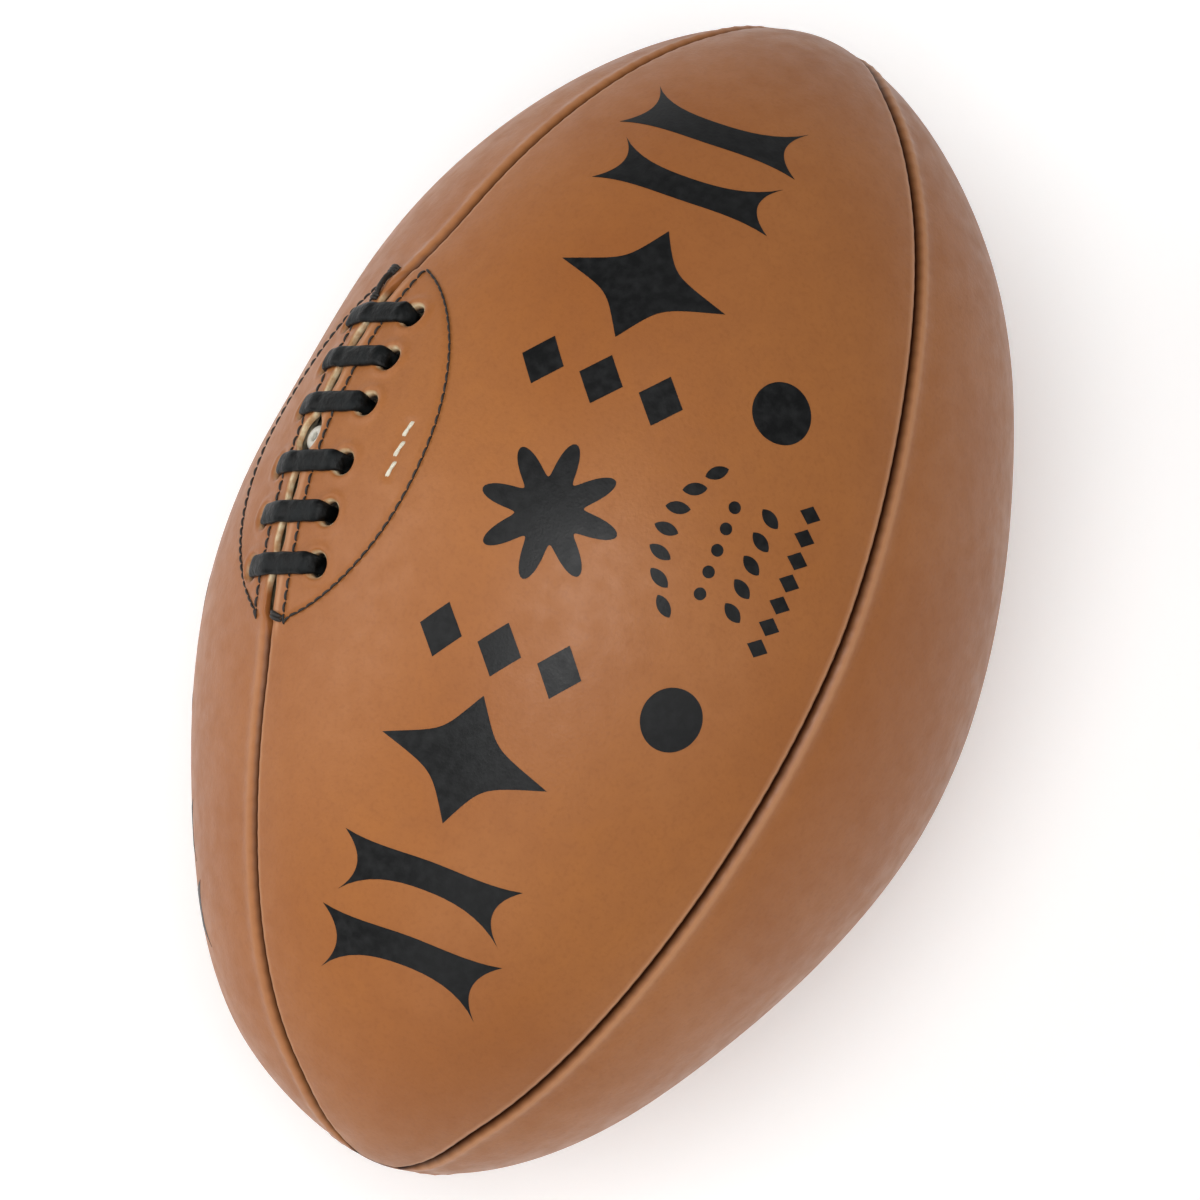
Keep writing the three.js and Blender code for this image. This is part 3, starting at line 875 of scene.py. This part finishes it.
def woven_canvas():
    look = Look("canvas", 0.9)
    threads = look.noise(1400, 1, stretch=(0.25, 1, 1))
    cloth = look.blended(threads, colour(198, 183, 148), colour(222, 210, 180))
    # Painted shade from the shade attribute, near the lace's holes and the slit
    look.paint(look.blended(look.attribute("shade"), cloth, colour(38, 30, 22)))
    look.bump(threads, 0.0002, 0.6)
    return look.material


def pale_leather():
    look = Look("pale_leather", 0.75)
    fibres = look.noise(700, 4)
    hide = look.blended(fibres, colour(206, 184, 140), colour(236, 219, 180))
    # Painted shade from the shade attribute, near the lace's holes and the slit
    look.paint(look.blended(look.attribute("shade"), hide, colour(38, 30, 22)))
    look.bump(fibres, 0.0002, 0.5)
    return look.material


def lace_leather():
    look = Look("lace_leather", 0.45, 0.2)
    wear = look.ranged(look.noise(300, 5), 0.42, 0.66)
    look.paint(look.blended(wear, colour(2, 3, 3), colour(24, 27, 28)))
    look.rough(look.ranged(wear, 0, 1, 0.42, 0.62))
    look.bump(look.sum(look.noise(900, 3), look.cells(600), 0.4), 0.00025, 0.7)
    return look.material


def rubber(name, dark, light, roughness):
    look = Look(name, roughness)
    bloom = look.ranged(look.noise(150, 4), 0.35, 0.65)
    look.paint(look.blended(bloom, dark, light))
    look.bump(look.noise(1200, 2), 0.00008, 0.3)
    return look.material


def thread(name, dark, light):
    look = Look(name, 0.6)
    twist = look.noise(1600, 2, stretch=(1, 0.4, 0.4))
    look.paint(look.blended(twist, dark, light))
    look.bump(twist, 0.00015, 0.7)
    return look.material


def print_ink():
    look = Look("print_ink", 0.5, 0.3)
    wear = look.ranged(look.noise(420, 5), 0.4, 0.75)
    look.paint(look.blended(wear, colour(14, 15, 16), colour(30, 31, 32)))
    look.bump(look.sum(look.noise(1500, 2), look.cells(900), 0.5), 0.00012, 0.35)
    look.rough(look.ranged(wear, 0, 1, 0.42, 0.56))
    return look.material


LOOKS = {
    "tan_leather": tan_leather(),
    "canvas": woven_canvas(),
    "pale_leather": pale_leather(),
    "lace_leather": lace_leather(),
    "bladder_rubber": rubber("bladder_rubber", colour(60, 44, 35), colour(78, 60, 49), 0.7),
    "valve_rubber": rubber("valve_rubber", colour(205, 202, 190), colour(232, 230, 222), 0.4),
    "seam_thread": thread("seam_thread", colour(62, 35, 18), colour(96, 58, 32)),
    "black_thread": thread("black_thread", colour(22, 19, 17), colour(52, 46, 40)),
    "white_thread": thread("white_thread", colour(206, 198, 172), colour(240, 236, 218)),
    "print_ink": print_ink(),
}


def dress(piece, slot, *nodes):
    """Gives a piece its material and its place in the frame."""
    piece.data.materials.append(LOOKS[slot])
    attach(piece, "root")
    if nodes:
        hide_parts(*nodes)


# ------------------------ leather


def build_panels():
    laced = seam_line(SEAM_LACED, -1)
    front_right = seam_line(SEAM_FRONT_RIGHT, 1)
    right_back = seam_line(SEAM_RIGHT_BACK, -1)
    back_left = seam_line(SEAM_BACK_LEFT, 1)
    back_left_turned = seam_line(SEAM_BACK_LEFT + TURN, 1)
    panels = (
        ("front", SEAM_LACED, ((laced, 1), (front_right, 0)), False),
        ("left", SEAM_LACED, ((back_left, 0), (laced, -1)), True),
        ("right", SEAM_FRONT_RIGHT, ((front_right, 0), (right_back, 0)), True),
        ("back", SEAM_RIGHT_BACK, ((right_back, 0), (back_left_turned, 0)), False),
    )
    for name, reference, sides, ridge in panels:
        panel = panel_shell(f"{name}_leather", reference, sides, ridge)
        dress(panel, "tan_leather", f"panel_{name}")


build_panels()

# ------------------------ layers under the leather


def layer(name, slot, node, x, angles, top, thickness, keep=None):
    """A thin closed skin over a grid of places on the ball: keep says which of its faces stay."""
    outer = on_ball(x, angles, top)
    inner = on_ball(x, angles, top - thickness)
    dress(make_shell(name, outer, inner, keep, flip=True), slot, node)


def shade_near_openings(x, distance, side):
    """How much painted shade darkens a hidden layer: most at the lace's holes and along the slit."""
    nearest = np.min(from_holes(x, distance, side), axis=0)
    return np.maximum(bell(distance - bow_at(x), 6), bell(np.maximum(nearest - HOLE_RADIUS, 0), 2.5))


def holed_layer(name, slot, node, side, x, inner_edge, outer_edge, top, thickness):
    """A thin skin beside the slit, with the lace's holes through it."""
    cell = 1.0
    lines = np.arange(STRAIGHT_FROM[side] + 1, 20, cell)
    scale = np.minimum(1, outer_edge / 23)[:, None]
    straight = lines * scale
    near = mix(inner_edge[:, None], straight[:, :1], np.linspace(0, 1, 7)[:-1])
    far = mix(straight[:, -1:], outer_edge[:, None], np.linspace(0, 1, 16)[1:])
    distance = side * side_by_side(near, straight, far)
    places = np.repeat(x[:, None], distance.shape[1], axis=1)
    keep = open_holes(places, distance, hole_places(side), HOLE_RADIUS, cell)
    angles = SEAM_LACED + distance / radius_at(places)
    relief = opening_relief(places, distance, False)
    outer = on_ball(places, angles, top + relief)
    inner = on_ball(places, angles, top - thickness + relief)
    # Painted shade where the layer shows through the holes and the slit
    shade = shade_near_openings(places, distance, side)
    dress(make_shell(name, outer, inner, keep, flip=side > 0, shade=(shade, shade)), slot, node)


def build_linings():
    end = axis_where(12)
    x = march(-end, end, lambda place: mix(3, 1, between(place, -58, -54, 48, 52)))
    inset = LEATHER_THICKNESS + 0.5
    for side, name in LACED_SIDES:
        width = (math.pi / 2 + side * 2 * tip_spread(x)) * radius_at(x)
        inner_edge = lip_edge(x, side) + inset - side * tip_spread(x) * radius_at(x)
        outer_edge = width - inset - side * tip_spread(x) * radius_at(x)
        holed_layer(f"{name}_lining", "canvas", f"lining_{name}", side, x, inner_edge, outer_edge,
                    LINING_TOP, LINING_THICKNESS)
    x = march(-end, end, lambda place: 2.5)
    shares = np.linspace(0, 1, 45)
    for name, middle, way in (("right", math.pi / 2, -1), ("back", math.pi, 1)):
        half = (math.pi / 4 + way * tip_spread(x)) * radius_at(x) - inset
        angles = middle + (2 * shares - 1) * (half / radius_at(x))[:, None]
        layer(f"{name}_lining", "canvas", f"lining_{name}", x[:, None], angles,
              LINING_TOP, LINING_THICKNESS)


def facing_edge(x, margin):
    t = np.clip((x - FACING_CENTRE) / (FACING_HALF_LENGTH + margin), -1, 1)
    return (FACING_HALF_WIDTH + margin) * (1 - t * t) ** FACING_ROOT


def build_facings():
    half_span = FACING_HALF_LENGTH - 0.5
    x = march(FACING_CENTRE - half_span, FACING_CENTRE + half_span, lambda place: 1.0)
    for side, name in LACED_SIDES:
        inner_edge = lip_edge(x, side) + 0.4
        outer_edge = np.maximum(facing_edge(x, FACING_MARGIN), inner_edge + 2)
        holed_layer(f"{name}_facing", "pale_leather", f"facing_{name}", side, x, inner_edge, outer_edge,
                    FACING_TOP, FACING_THICKNESS)


def build_tongue():
    low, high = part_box("tongue")
    cell, columns = 1.2, 41
    x = march(low.x / MM, high.x / MM, lambda place: cell)
    along = (x - x[0]) / (x[-1] - x[0])
    narrow = 1 - 0.35 * np.abs(2 * along - 1) ** 6
    middle = (TONGUE_LEFT + TONGUE_RIGHT) / 2
    half = (TONGUE_RIGHT - TONGUE_LEFT) / 2 * narrow
    distance = middle + half[:, None] * np.linspace(-1, 1, columns)
    places = np.repeat(x[:, None], columns, axis=1)
    keep = open_holes(places, distance, [valve_place()], BOSS_RADIUS + VALVE_CLEARANCE, cell)
    angles = SEAM_LACED + distance / radius_at(places)
    layer("tongue_flap", "pale_leather", "tongue", places, angles, TONGUE_TOP, TONGUE_THICKNESS, keep)


def bladder_rings(depth):
    end = np.linspace(0.03, math.pi - 0.03, 90)
    x = (-HALF_LENGTH * np.cos(end))[:, None]
    angles = (np.arange(96) / 96 * TURN)[None]
    distance = (np.mod(angles - SEAM_LACED + math.pi, TURN) - math.pi) * radius_at(x)
    dent = BLADDER_DENT * between(x, -75, -50, 44, 70) * between(distance, -42, -20, 36, 58)
    return on_ball(x, angles, depth - dent)


def build_bladder():
    outside = bladder_rings(BLADDER_TOP)
    # The inner skin's rings run the other way round, so that its faces look into the hollow
    inside = bladder_rings(BLADDER_TOP - BLADDER_THICKNESS)[:, ::-1]
    rings = np.stack([outside, inside])[:, ::-1]
    dress(make_sweeps("bladder_skin", rings), "bladder_rubber", "bladder")


def turned_rings(profile, sides):
    """Rings of a turned shape that stands on the ball at the valve: profile is [radius, height]."""
    base = beside_seam(*valve_place(), 0.0)
    up = beside_seam(*valve_place(), 1.0) - base
    first = unit(np.cross(up, [1, 0, 0]))
    second = np.cross(up, first)
    turns = np.arange(sides) / sides * TURN
    ring = first * np.cos(turns)[:, None] + second * np.sin(turns)[:, None]
    return np.array([base + up * height + ring * radius for radius, height in profile])


def arc(centre, radius, start, end, count):
    turns = np.radians(np.linspace(start, end, count))
    return list(zip(centre[0] + radius * np.cos(turns), centre[1] + radius * np.sin(turns)))


def build_valve():
    low = BOSS_TOP - VALVE_LENGTH
    dome = arc((BOSS_RADIUS - 1.6, BOSS_TOP - 1.6), 1.6, 0, 90, 8)
    mouth = arc((MOUTH_RADIUS + 0.5, BOSS_TOP - 0.5), 0.5, 90, 180, 5)
    flange = arc((FLANGE_RADIUS - 0.4, FLANGE_TOP - 0.4), 0.4, 0, 90, 4)
    profile = [
        (CORE_RADIUS + 0.3, low),
        (STEM_RADIUS - 0.4, low),
        (STEM_RADIUS, low + 0.4),
        (STEM_RADIUS, FLANGE_TOP - 1.2),
        (FLANGE_RADIUS - 0.3, FLANGE_TOP - 1.1),
        *flange,
        (BOSS_RADIUS + 0.8, FLANGE_TOP),
        (BOSS_RADIUS, FLANGE_TOP + 0.9),
        *dome,
        *mouth,
        (MOUTH_RADIUS, BOSS_TOP - 2),
        (CORE_RADIUS + 0.3, BOSS_TOP - 3),
    ]
    sides = 48
    rings = turned_rings([*profile, profile[0]], sides)
    rows = len(profile)
    index = np.arange(rows * sides).reshape(rows, sides)
    ahead = np.roll(index, -1, axis=0)
    turned = np.roll(index, -1, axis=1)
    faces = np.stack([index, turned, np.roll(ahead, -1, axis=1), ahead], axis=-1).reshape(-1, 4)
    boss = make_mesh("valve_boss", rings[:-1].reshape(-1, 3), faces, 40)
    dress(boss, "valve_rubber", "valve_housing")
    top = BOSS_TOP - 3.6
    core = [
        (0.5, low + 1),
        (CORE_RADIUS - 0.4, low + 1),
        (CORE_RADIUS, low + 3),
        (CORE_RADIUS, top - 0.5),
        *arc((CORE_RADIUS - 0.5, top - 0.5), 0.5, 0, 90, 5),
        (0.8, top),
        (0.5, top - 0.3),
    ]
    dress(make_sweeps("valve_plug", turned_rings(core, 32)[None]), "bladder_rubber", "valve_core")


# ------------------------ sewing


def stitch_paths(x, distance, x_end, distance_end, low, lift):
    """Short arched strands on the leather, each from (x, distance) to its end."""
    t = np.linspace(0, 1, STITCH_STEPS)
    place_x = mix(np.asarray(x)[:, None], np.asarray(x_end)[:, None], t)
    place_distance = mix(np.asarray(distance)[:, None], np.asarray(distance_end)[:, None], t)
    relief = opening_relief(place_x, place_distance, False)
    height = relief + low + lift * np.sin(math.pi * t) ** 0.5
    return beside_seam(place_x, place_distance, height)


def sew(name, slot, node, paths, radius):
    """Makes strands along paths; each thins towards its ends."""
    t = np.linspace(-1, 1, STITCH_STEPS)
    rings = strand_rings(paths, radius * (1 - 0.45 * np.abs(t) ** 4))
    dress(make_sweeps(name, rings), slot, node)


def evenly_along(x, distance, pitch):
    """Points at an even pitch along a line given by many points."""
    steps = np.hypot(np.diff(x) * np.hypot(1, slope_at(x[:-1])), np.diff(distance))
    length = np.concatenate([[0], np.cumsum(steps)])
    count = round(length[-1] / pitch)
    marks = np.linspace(0, length[-1], count + 1)
    return np.interp(marks, length, x), np.interp(marks, length, distance)


def sewn_line(x, distance, cover):
    """A row of stitches; cover is the share of each pitch that the thread covers."""
    marks_x, marks_distance = evenly_along(x, distance, THREAD_PITCH)
    gap = (1 - cover) / 2
    ends = []
    for share in (gap, 1 - gap):
        ends.append(mix(marks_x[:-1], marks_x[1:], share))
        ends.append(mix(marks_distance[:-1], marks_distance[1:], share))
    return stitch_paths(*ends, THREAD_LOW, THREAD_LIFT)


def build_facing_threads():
    t = np.linspace(0.01, 0.99, 600)
    x = FACING_CENTRE - (FACING_HALF_LENGTH - 0.3) * np.cos(math.pi * t)
    row_x = np.linspace(-48.5, 43, 200)
    for side, name in LACED_SIDES:
        row = side * bow_at(row_x) + ROW_OFFSET
        outline = np.maximum(facing_edge(x, 0), side * bow_at(x) + ROW_OFFSET)
        outline_paths = sewn_line(x, side * outline, OUTLINE_COVER)
        row_paths = sewn_line(row_x, side * row, ROW_COVER)
        sew(f"{name}_facing_stitches", "black_thread", f"facing_thread_{name}",
            np.concatenate([outline_paths, row_paths]), THREAD_RADIUS)


def build_tack(name, slot, node, rows, lift, radius):
    """Strands of one tack: each row is a strand's x, distance, end x and end distance."""
    columns = np.array(rows).T
    sew(name, slot, node, stitch_paths(*columns, *lift), radius)


def build_tacks():
    lift = (THREAD_LOW + 0.3, BLACK_TACK_LIFT)
    (x, across), (end_x, end_across) = UPPER_TACK_START, UPPER_TACK_END
    rows = [(x, across + shift, end_x, end_across - shift * 0.8) for shift in (-0.5, 0.5)]
    for k in range(3):
        knot_x = end_x + STRAND_STEP * k
        rows.append((knot_x, end_across - 1.5, knot_x, end_across + 1.5))
    for k in range(2):
        knot_x = x - STRAND_STEP * k
        rows.append((knot_x, across - 1.2, knot_x, across + 0.8))
    build_tack("upper_tack", "black_thread", "slit_tack_upper", rows, lift, BLACK_TACK_RADIUS)

    (x, across), (end_x, end_across) = LOWER_TACK_START, LOWER_TACK_END
    rows = [(x + step, across, end_x + step, end_across) for step in (0, 0.9)]
    build_tack("lower_tack", "black_thread", "slit_tack_lower", rows, lift, BLACK_TACK_RADIUS)

    rows = []
    for k in range(TONGUE_STITCHES):
        x = TONGUE_STITCH_START[0] + TONGUE_STITCH_PITCH * k
        across = TONGUE_STITCH_START[1]
        for ply in (-0.3, 0.3):
            rows.append((x, across + ply, x + TONGUE_STITCH_LENGTH, across - 1 - ply))
    lift = (THREAD_LOW, THREAD_LIFT)
    build_tack("tongue_stitches", "white_thread", "tongue_thread", rows, lift, WHITE_TACK_RADIUS)


def build_seam_threads():
    threads = {
        "front_right": (SEAM_FRONT_RIGHT, 1),
        "right_back": (SEAM_RIGHT_BACK, -1),
        "back_left": (SEAM_BACK_LEFT, 1),
        "lace_upper": (SEAM_LACED, -1),
        "lace_lower": (SEAM_LACED, -1),
    }
    for name, (seam, way) in threads.items():
        node = f"seam_thread_{name}"
        low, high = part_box(node)
        x = np.linspace(low.x / MM + 1, high.x / MM - 1, 400)
        bow = bow_at(x) if seam == SEAM_LACED else 0
        distance = way * tip_spread(x) * radius_at(x) + bow
        marks_x, marks_distance = evenly_along(x, distance, STITCH_PITCH)
        t = np.linspace(0.04, 0.96, STITCH_STEPS)
        place_x = mix(marks_x[:-1, None], marks_x[1:, None], t)
        place_distance = mix(marks_distance[:-1, None], marks_distance[1:, None], t)
        paths = beside_seam(place_x, place_distance, -FLANGE_DEPTH - 0.9, seam)
        sew(f"{name}_seam_stitches", "seam_thread", node, paths, SEAM_THREAD_RADIUS)


# ------------------------ the lace


def curve_through(points, steps):
    """A smooth line through points (rows of numbers), with steps samples for each gap."""
    points = np.array(points, float)
    padded = np.concatenate([2 * points[:1] - points[1:2], points, 2 * points[-1:] - points[-2:-1]])
    before, start = padded[:-3, None], padded[1:-2, None]
    end, after = padded[2:-1, None], padded[3:, None]
    t = (np.arange(steps) / steps)[None, :, None]
    curve = 0.5 * (
        2 * start + (end - before) * t + (2 * before - 5 * start + 4 * end - after) * t**2
        + (3 * start - before - 3 * end + after) * t**3
    )
    return np.concatenate([curve.reshape(-1, points.shape[1]), points[-1:]])


def lace_bar(bar):
    """One bar from the left hole to the front hole: rows of x, distance, height, twist, leg share."""
    left = hole_distance_at(bar, -1) + LACE_HUG
    right = hole_distance_at(bar, 1) - LACE_HUG
    rows = [
        (left, LACE_UNDER + 1.6, 0.6, 1),
        (left, -3.0, 0, 1),
        (left, -0.6, 0, 0.9),
        (left + 0.35, 1.0, 0, 0.5),
    ]
    for distance in np.linspace(left + 1.5, right - 1.5, 9):
        place = bar - BAR_SKEW * distance / HOLE_OFFSET[1]
        relief = float(opening_relief(place, distance, False))
        rows.append((distance, relief + LACE_OVER, 0, 0))
    rows += [
        (right - 0.35, 0.2, 0, 0.5),
        (right, -1.2, 0, 0.9),
        (right, -3.2, 0, 1),
        (right, LACE_UNDER + 1.6, 0.6, 1),
    ]
    middle = (left + right) / 2
    half = (right - left) / 2
    return [(bar - BAR_SKEW * (row[0] - middle) / half, *row) for row in rows]


def build_lace():
    rows = []
    for i, bar in enumerate(BAR_PLACES):
        section = lace_bar(bar)
        if i % 2:
            section = section[::-1]
        first, last = section[0], section[-1]
        if i == 0:
            rows.append((first[0] - LACE_TAIL, first[1], LACE_UNDER, 1, 0))
        rows.append((first[0] - LACE_TURN, first[1], LACE_UNDER, 1, 0))
        rows += section
        rows.append((last[0] + LACE_TURN, last[1], LACE_UNDER, 1, 0))
    rows.append((last[0] + LACE_TAIL, last[1], LACE_UNDER, 1, 0))
    line = curve_through(rows, 5)
    centre, twist, leg = line[:, :3], np.clip(line[:, 3], 0, 1), np.clip(line[:, 4], 0, 1)
    ahead = unit(np.gradient(centre, axis=0))
    way = square_to(np.stack([1 - twist, twist, np.zeros_like(twist)], axis=1), ahead)
    thick = np.cross(ahead, way)
    turns = np.arange(20) / 20 * TURN
    across = np.sign(np.cos(turns)) * np.abs(np.cos(turns)) ** 0.6
    above = np.sign(np.sin(turns)) * np.abs(np.sin(turns)) ** 0.75
    wobble = 1 + 0.025 * np.sin(centre[:, :1] * 1.9 + centre[:, 1:2] * 1.3)
    half_width = (LACE_WIDTH / 2 * mix(1, 0.78, leg))[:, None] * wobble
    facing_up = np.sign(np.sum(thick * np.array([0, 0, 1]), axis=1))
    toward_top = np.where(leg > 0.05, 1, facing_up)[:, None]
    curl = mix(-0.22, 0.9, leg)[:, None] * across**2 * toward_top
    offset_across = half_width * across
    offset_above = LACE_THICKNESS / 2 * above + curl
    flat = centre[:, None] + way[:, None] * offset_across[..., None]
    flat = flat + thick[:, None] * offset_above[..., None]
    rings = beside_seam(flat[..., 0], flat[..., 1], flat[..., 2])
    dress(make_sweeps("lace_strip", rings[None], 50), "lace_leather", "lace")


build_linings()
build_facings()
build_tongue()
build_bladder()
build_valve()
build_facing_threads()
build_tacks()
build_seam_threads()
build_lace()

# ------------------------ printed marks


def square_grid(steps=MARK_STEPS):
    places = np.linspace(-1, 1, steps)
    return np.meshgrid(places, places, indexing="ij")


def star_mark(radius_at_turn, steps=MARK_STEPS):
    """A filled shape round its own centre: the outline's radius is a function of the turn."""
    u, v = square_grid(steps)
    level = np.maximum(np.abs(u), np.abs(v))
    turn = np.arctan2(v, u)
    radius = radius_at_turn(turn) * level
    return radius * np.cos(turn), radius * np.sin(turn)


def disc_mark(radius):
    return star_mark(lambda turn: np.full_like(turn, radius))


def lozenge_mark(half_x, half_across, hollow=0.0):
    """A lozenge; hollow is how far the middles of its sides curve inwards."""
    u, v = square_grid()
    larger = np.maximum(np.abs(u), np.abs(v))
    smaller = np.minimum(np.abs(u), np.abs(v))
    pull = 1 - hollow * (larger**2 - smaller**2)
    return half_x * (u + v) / 2 * pull, half_across * (u - v) / 2 * pull


def rosette_mark(radius, petals, depth):
    return star_mark(lambda turn: radius * (1 - depth + depth * np.cos(petals * turn)), 49)


def bar_mark(half_length, waist, flare, notch, bend):
    """A bar across the band: waisted, with forked ends, and slightly bent along the axis."""
    u, v = square_grid()
    width = waist + flare * np.abs(u) ** 3
    across = u * half_length * (1 - notch * (1 - v**2) * u**6)
    return v * width + bend * (u**2 - 0.4), across


def leaf_mark(half_length, half_width, turn):
    u, v = square_grid()
    along = u * half_length
    aside = v * half_width * (1 - u**2) ** 0.8 + 1e-3 * v
    cosine, sine = math.cos(turn), math.sin(turn)
    return along * cosine - aside * sine, along * sine + aside * cosine


def print_marks(name, middle, marks):
    """Thin solids of ink on a panel: marks are (mark, x, distance from the panel's middle line)."""
    points, faces = [], []
    count = 0
    for (mark_x, mark_across), x, across in marks:
        places = x + mark_x
        angles = middle + (across + mark_across) / radius_at(x)
        faces.append(shell_faces(*places.shape)[:, ::-1] + count)
        for height in (PRINT_HEIGHT, -PRINT_DEPTH):
            points.append(on_ball(places, angles, height).reshape(-1, 3))
            count += places.size
    dress(make_mesh(name, np.concatenate(points), np.concatenate(faces), 40), "print_ink")


def band_middle(x):
    """The printed band's middle line wanders a little towards the laced seam."""
    return -6.0 + 0.02 * x


def band_marks(half):
    marks = []

    def add(mark, x, across=0.0):
        marks.append((mark, x, band_middle(x) + across))

    for way in (-1, 1):
        add(bar_mark(half, 3.2, 3.4, 0.2, 2.5 * way), way * 105)
        add(bar_mark(half, 3.2, 3.4, 0.2, 2.5 * way), way * 88)
        add(lozenge_mark(15, half - 1, 0.3), way * 60)
        for across in (-15, 0, 15):
            add(lozenge_mark(6.5, 5.5), way * 34, across)
    add(rosette_mark(17, 8, 0.26), 0)
    return marks


def row_marks():
    """Small rows of beads and leaves beside the band, in place of small print."""
    marks = []
    for k in range(7):
        along = (k - 3) / 3
        x = -6 - 17 * along
        marks.append((leaf_mark(3.0, 1.5, math.pi / 2 + 0.7 * along), x, 27 - 6 * (1 - along**2)))
        marks.append((lozenge_mark(2.3, 2.9), x, 52 + 1.5 * (1 - along**2)))
    for k in range(5):
        along = (k - 2) / 2
        marks.append((disc_mark(1.5), -6 - 11 * along, 34))
        marks.append((leaf_mark(2.9, 1.6, math.pi / 2 - 0.5), -6 - 12 * along, 43))
    return marks


def build_print():
    spots = [(disc_mark(SPOT_RADIUS), *place) for place in SPOTS]
    band = band_marks(FRONT_BAND_HALF_WIDTH)
    print_marks("front_print", 0.0, band + row_marks() + spots)
    print_marks("left_print", -math.pi / 2, band_marks(LEFT_BAND_HALF_WIDTH))


build_print()

# ------------------------ camera, floor and lights

CAMERA_WAY = Vector((0.15078, 0.13735, 0.97898))
CAMERA_RIGHT = Vector((-0.36506, 0.92804, -0.07398))
CAMERA_UP = Vector((-0.91869, -0.34625, 0.19007))
CAMERA_DISTANCE = 2.2626
CAMERA_AIM = CAMERA_RIGHT * -0.00063 + CAMERA_UP * -0.00085
CAMERA_LENS = 281

# Area lights that face the ball: name, place and width in metres, power in watts
LIGHTS = (
    ("overhead", (0.2, 0.1, 2.1), 1.3, 27),
    ("left", (0.3, -1.6, 0.9), 1.3, 13.5),
    ("end", (1.8, 0.0, 1.2), 1.3, 5.5),
    ("top", (-1.7, 0.0, 1.1), 1.3, 1),
    ("right", (0.3, 1.45, 1.4), 0.7, 3.5),
)
SKY_STRENGTH = 0.12
FLOOR_HALF_WIDTH = 3.0
FLOOR_GLOW = 0.28


def add_camera():
    data = bpy.data.cameras.new("camera")
    data.lens = CAMERA_LENS
    data.sensor_width = 36
    data.clip_end = 20
    camera = add_object("camera", data)
    turn = Matrix((CAMERA_RIGHT, CAMERA_UP, CAMERA_WAY)).transposed().to_4x4()
    camera.matrix_world = Matrix.Translation(CAMERA_AIM + CAMERA_WAY * CAMERA_DISTANCE) @ turn
    bpy.context.scene.camera = camera


def add_lights():
    for name, place, size, power in LIGHTS:
        data = bpy.data.lights.new(name, "AREA")
        data.shape = "DISK"
        data.size = size
        data.energy = power
        light = add_object(name, data)
        light.location = place
        light.rotation_euler = (-Vector(place)).to_track_quat("-Z", "Y").to_euler()


def floor_paint():
    look = Look("floor_paint", 0.8, 0.1)
    look.paint(look.blended(look.noise(3, 2), colour(250, 250, 250), colour(246, 246, 246)))
    look.shader.inputs["Emission Color"].default_value = (1, 1, 1, 1)
    look.shader.inputs["Emission Strength"].default_value = FLOOR_GLOW
    return look.material


def add_floor():
    half = FLOOR_HALF_WIDTH
    bottom = -MAX_RADIUS * MM - 0.0005
    signs = ((-1, -1), (1, -1), (1, 1), (-1, 1))
    mesh = bpy.data.meshes.new("floor")
    mesh.from_pydata([(half * x, half * y, bottom) for x, y in signs], [], [(0, 1, 2, 3)])
    mesh.materials.append(floor_paint())
    add_object("floor", mesh)


def add_sky():
    world = bpy.data.worlds.new("studio")
    world.use_nodes = True
    background = world.node_tree.nodes["Background"]
    background.inputs["Color"].default_value = (1, 1, 1, 1)
    background.inputs["Strength"].default_value = SKY_STRENGTH
    bpy.context.scene.world = world


add_camera()
add_floor()
add_sky()
add_lights()
bpy.context.scene.view_settings.view_transform = "Standard"
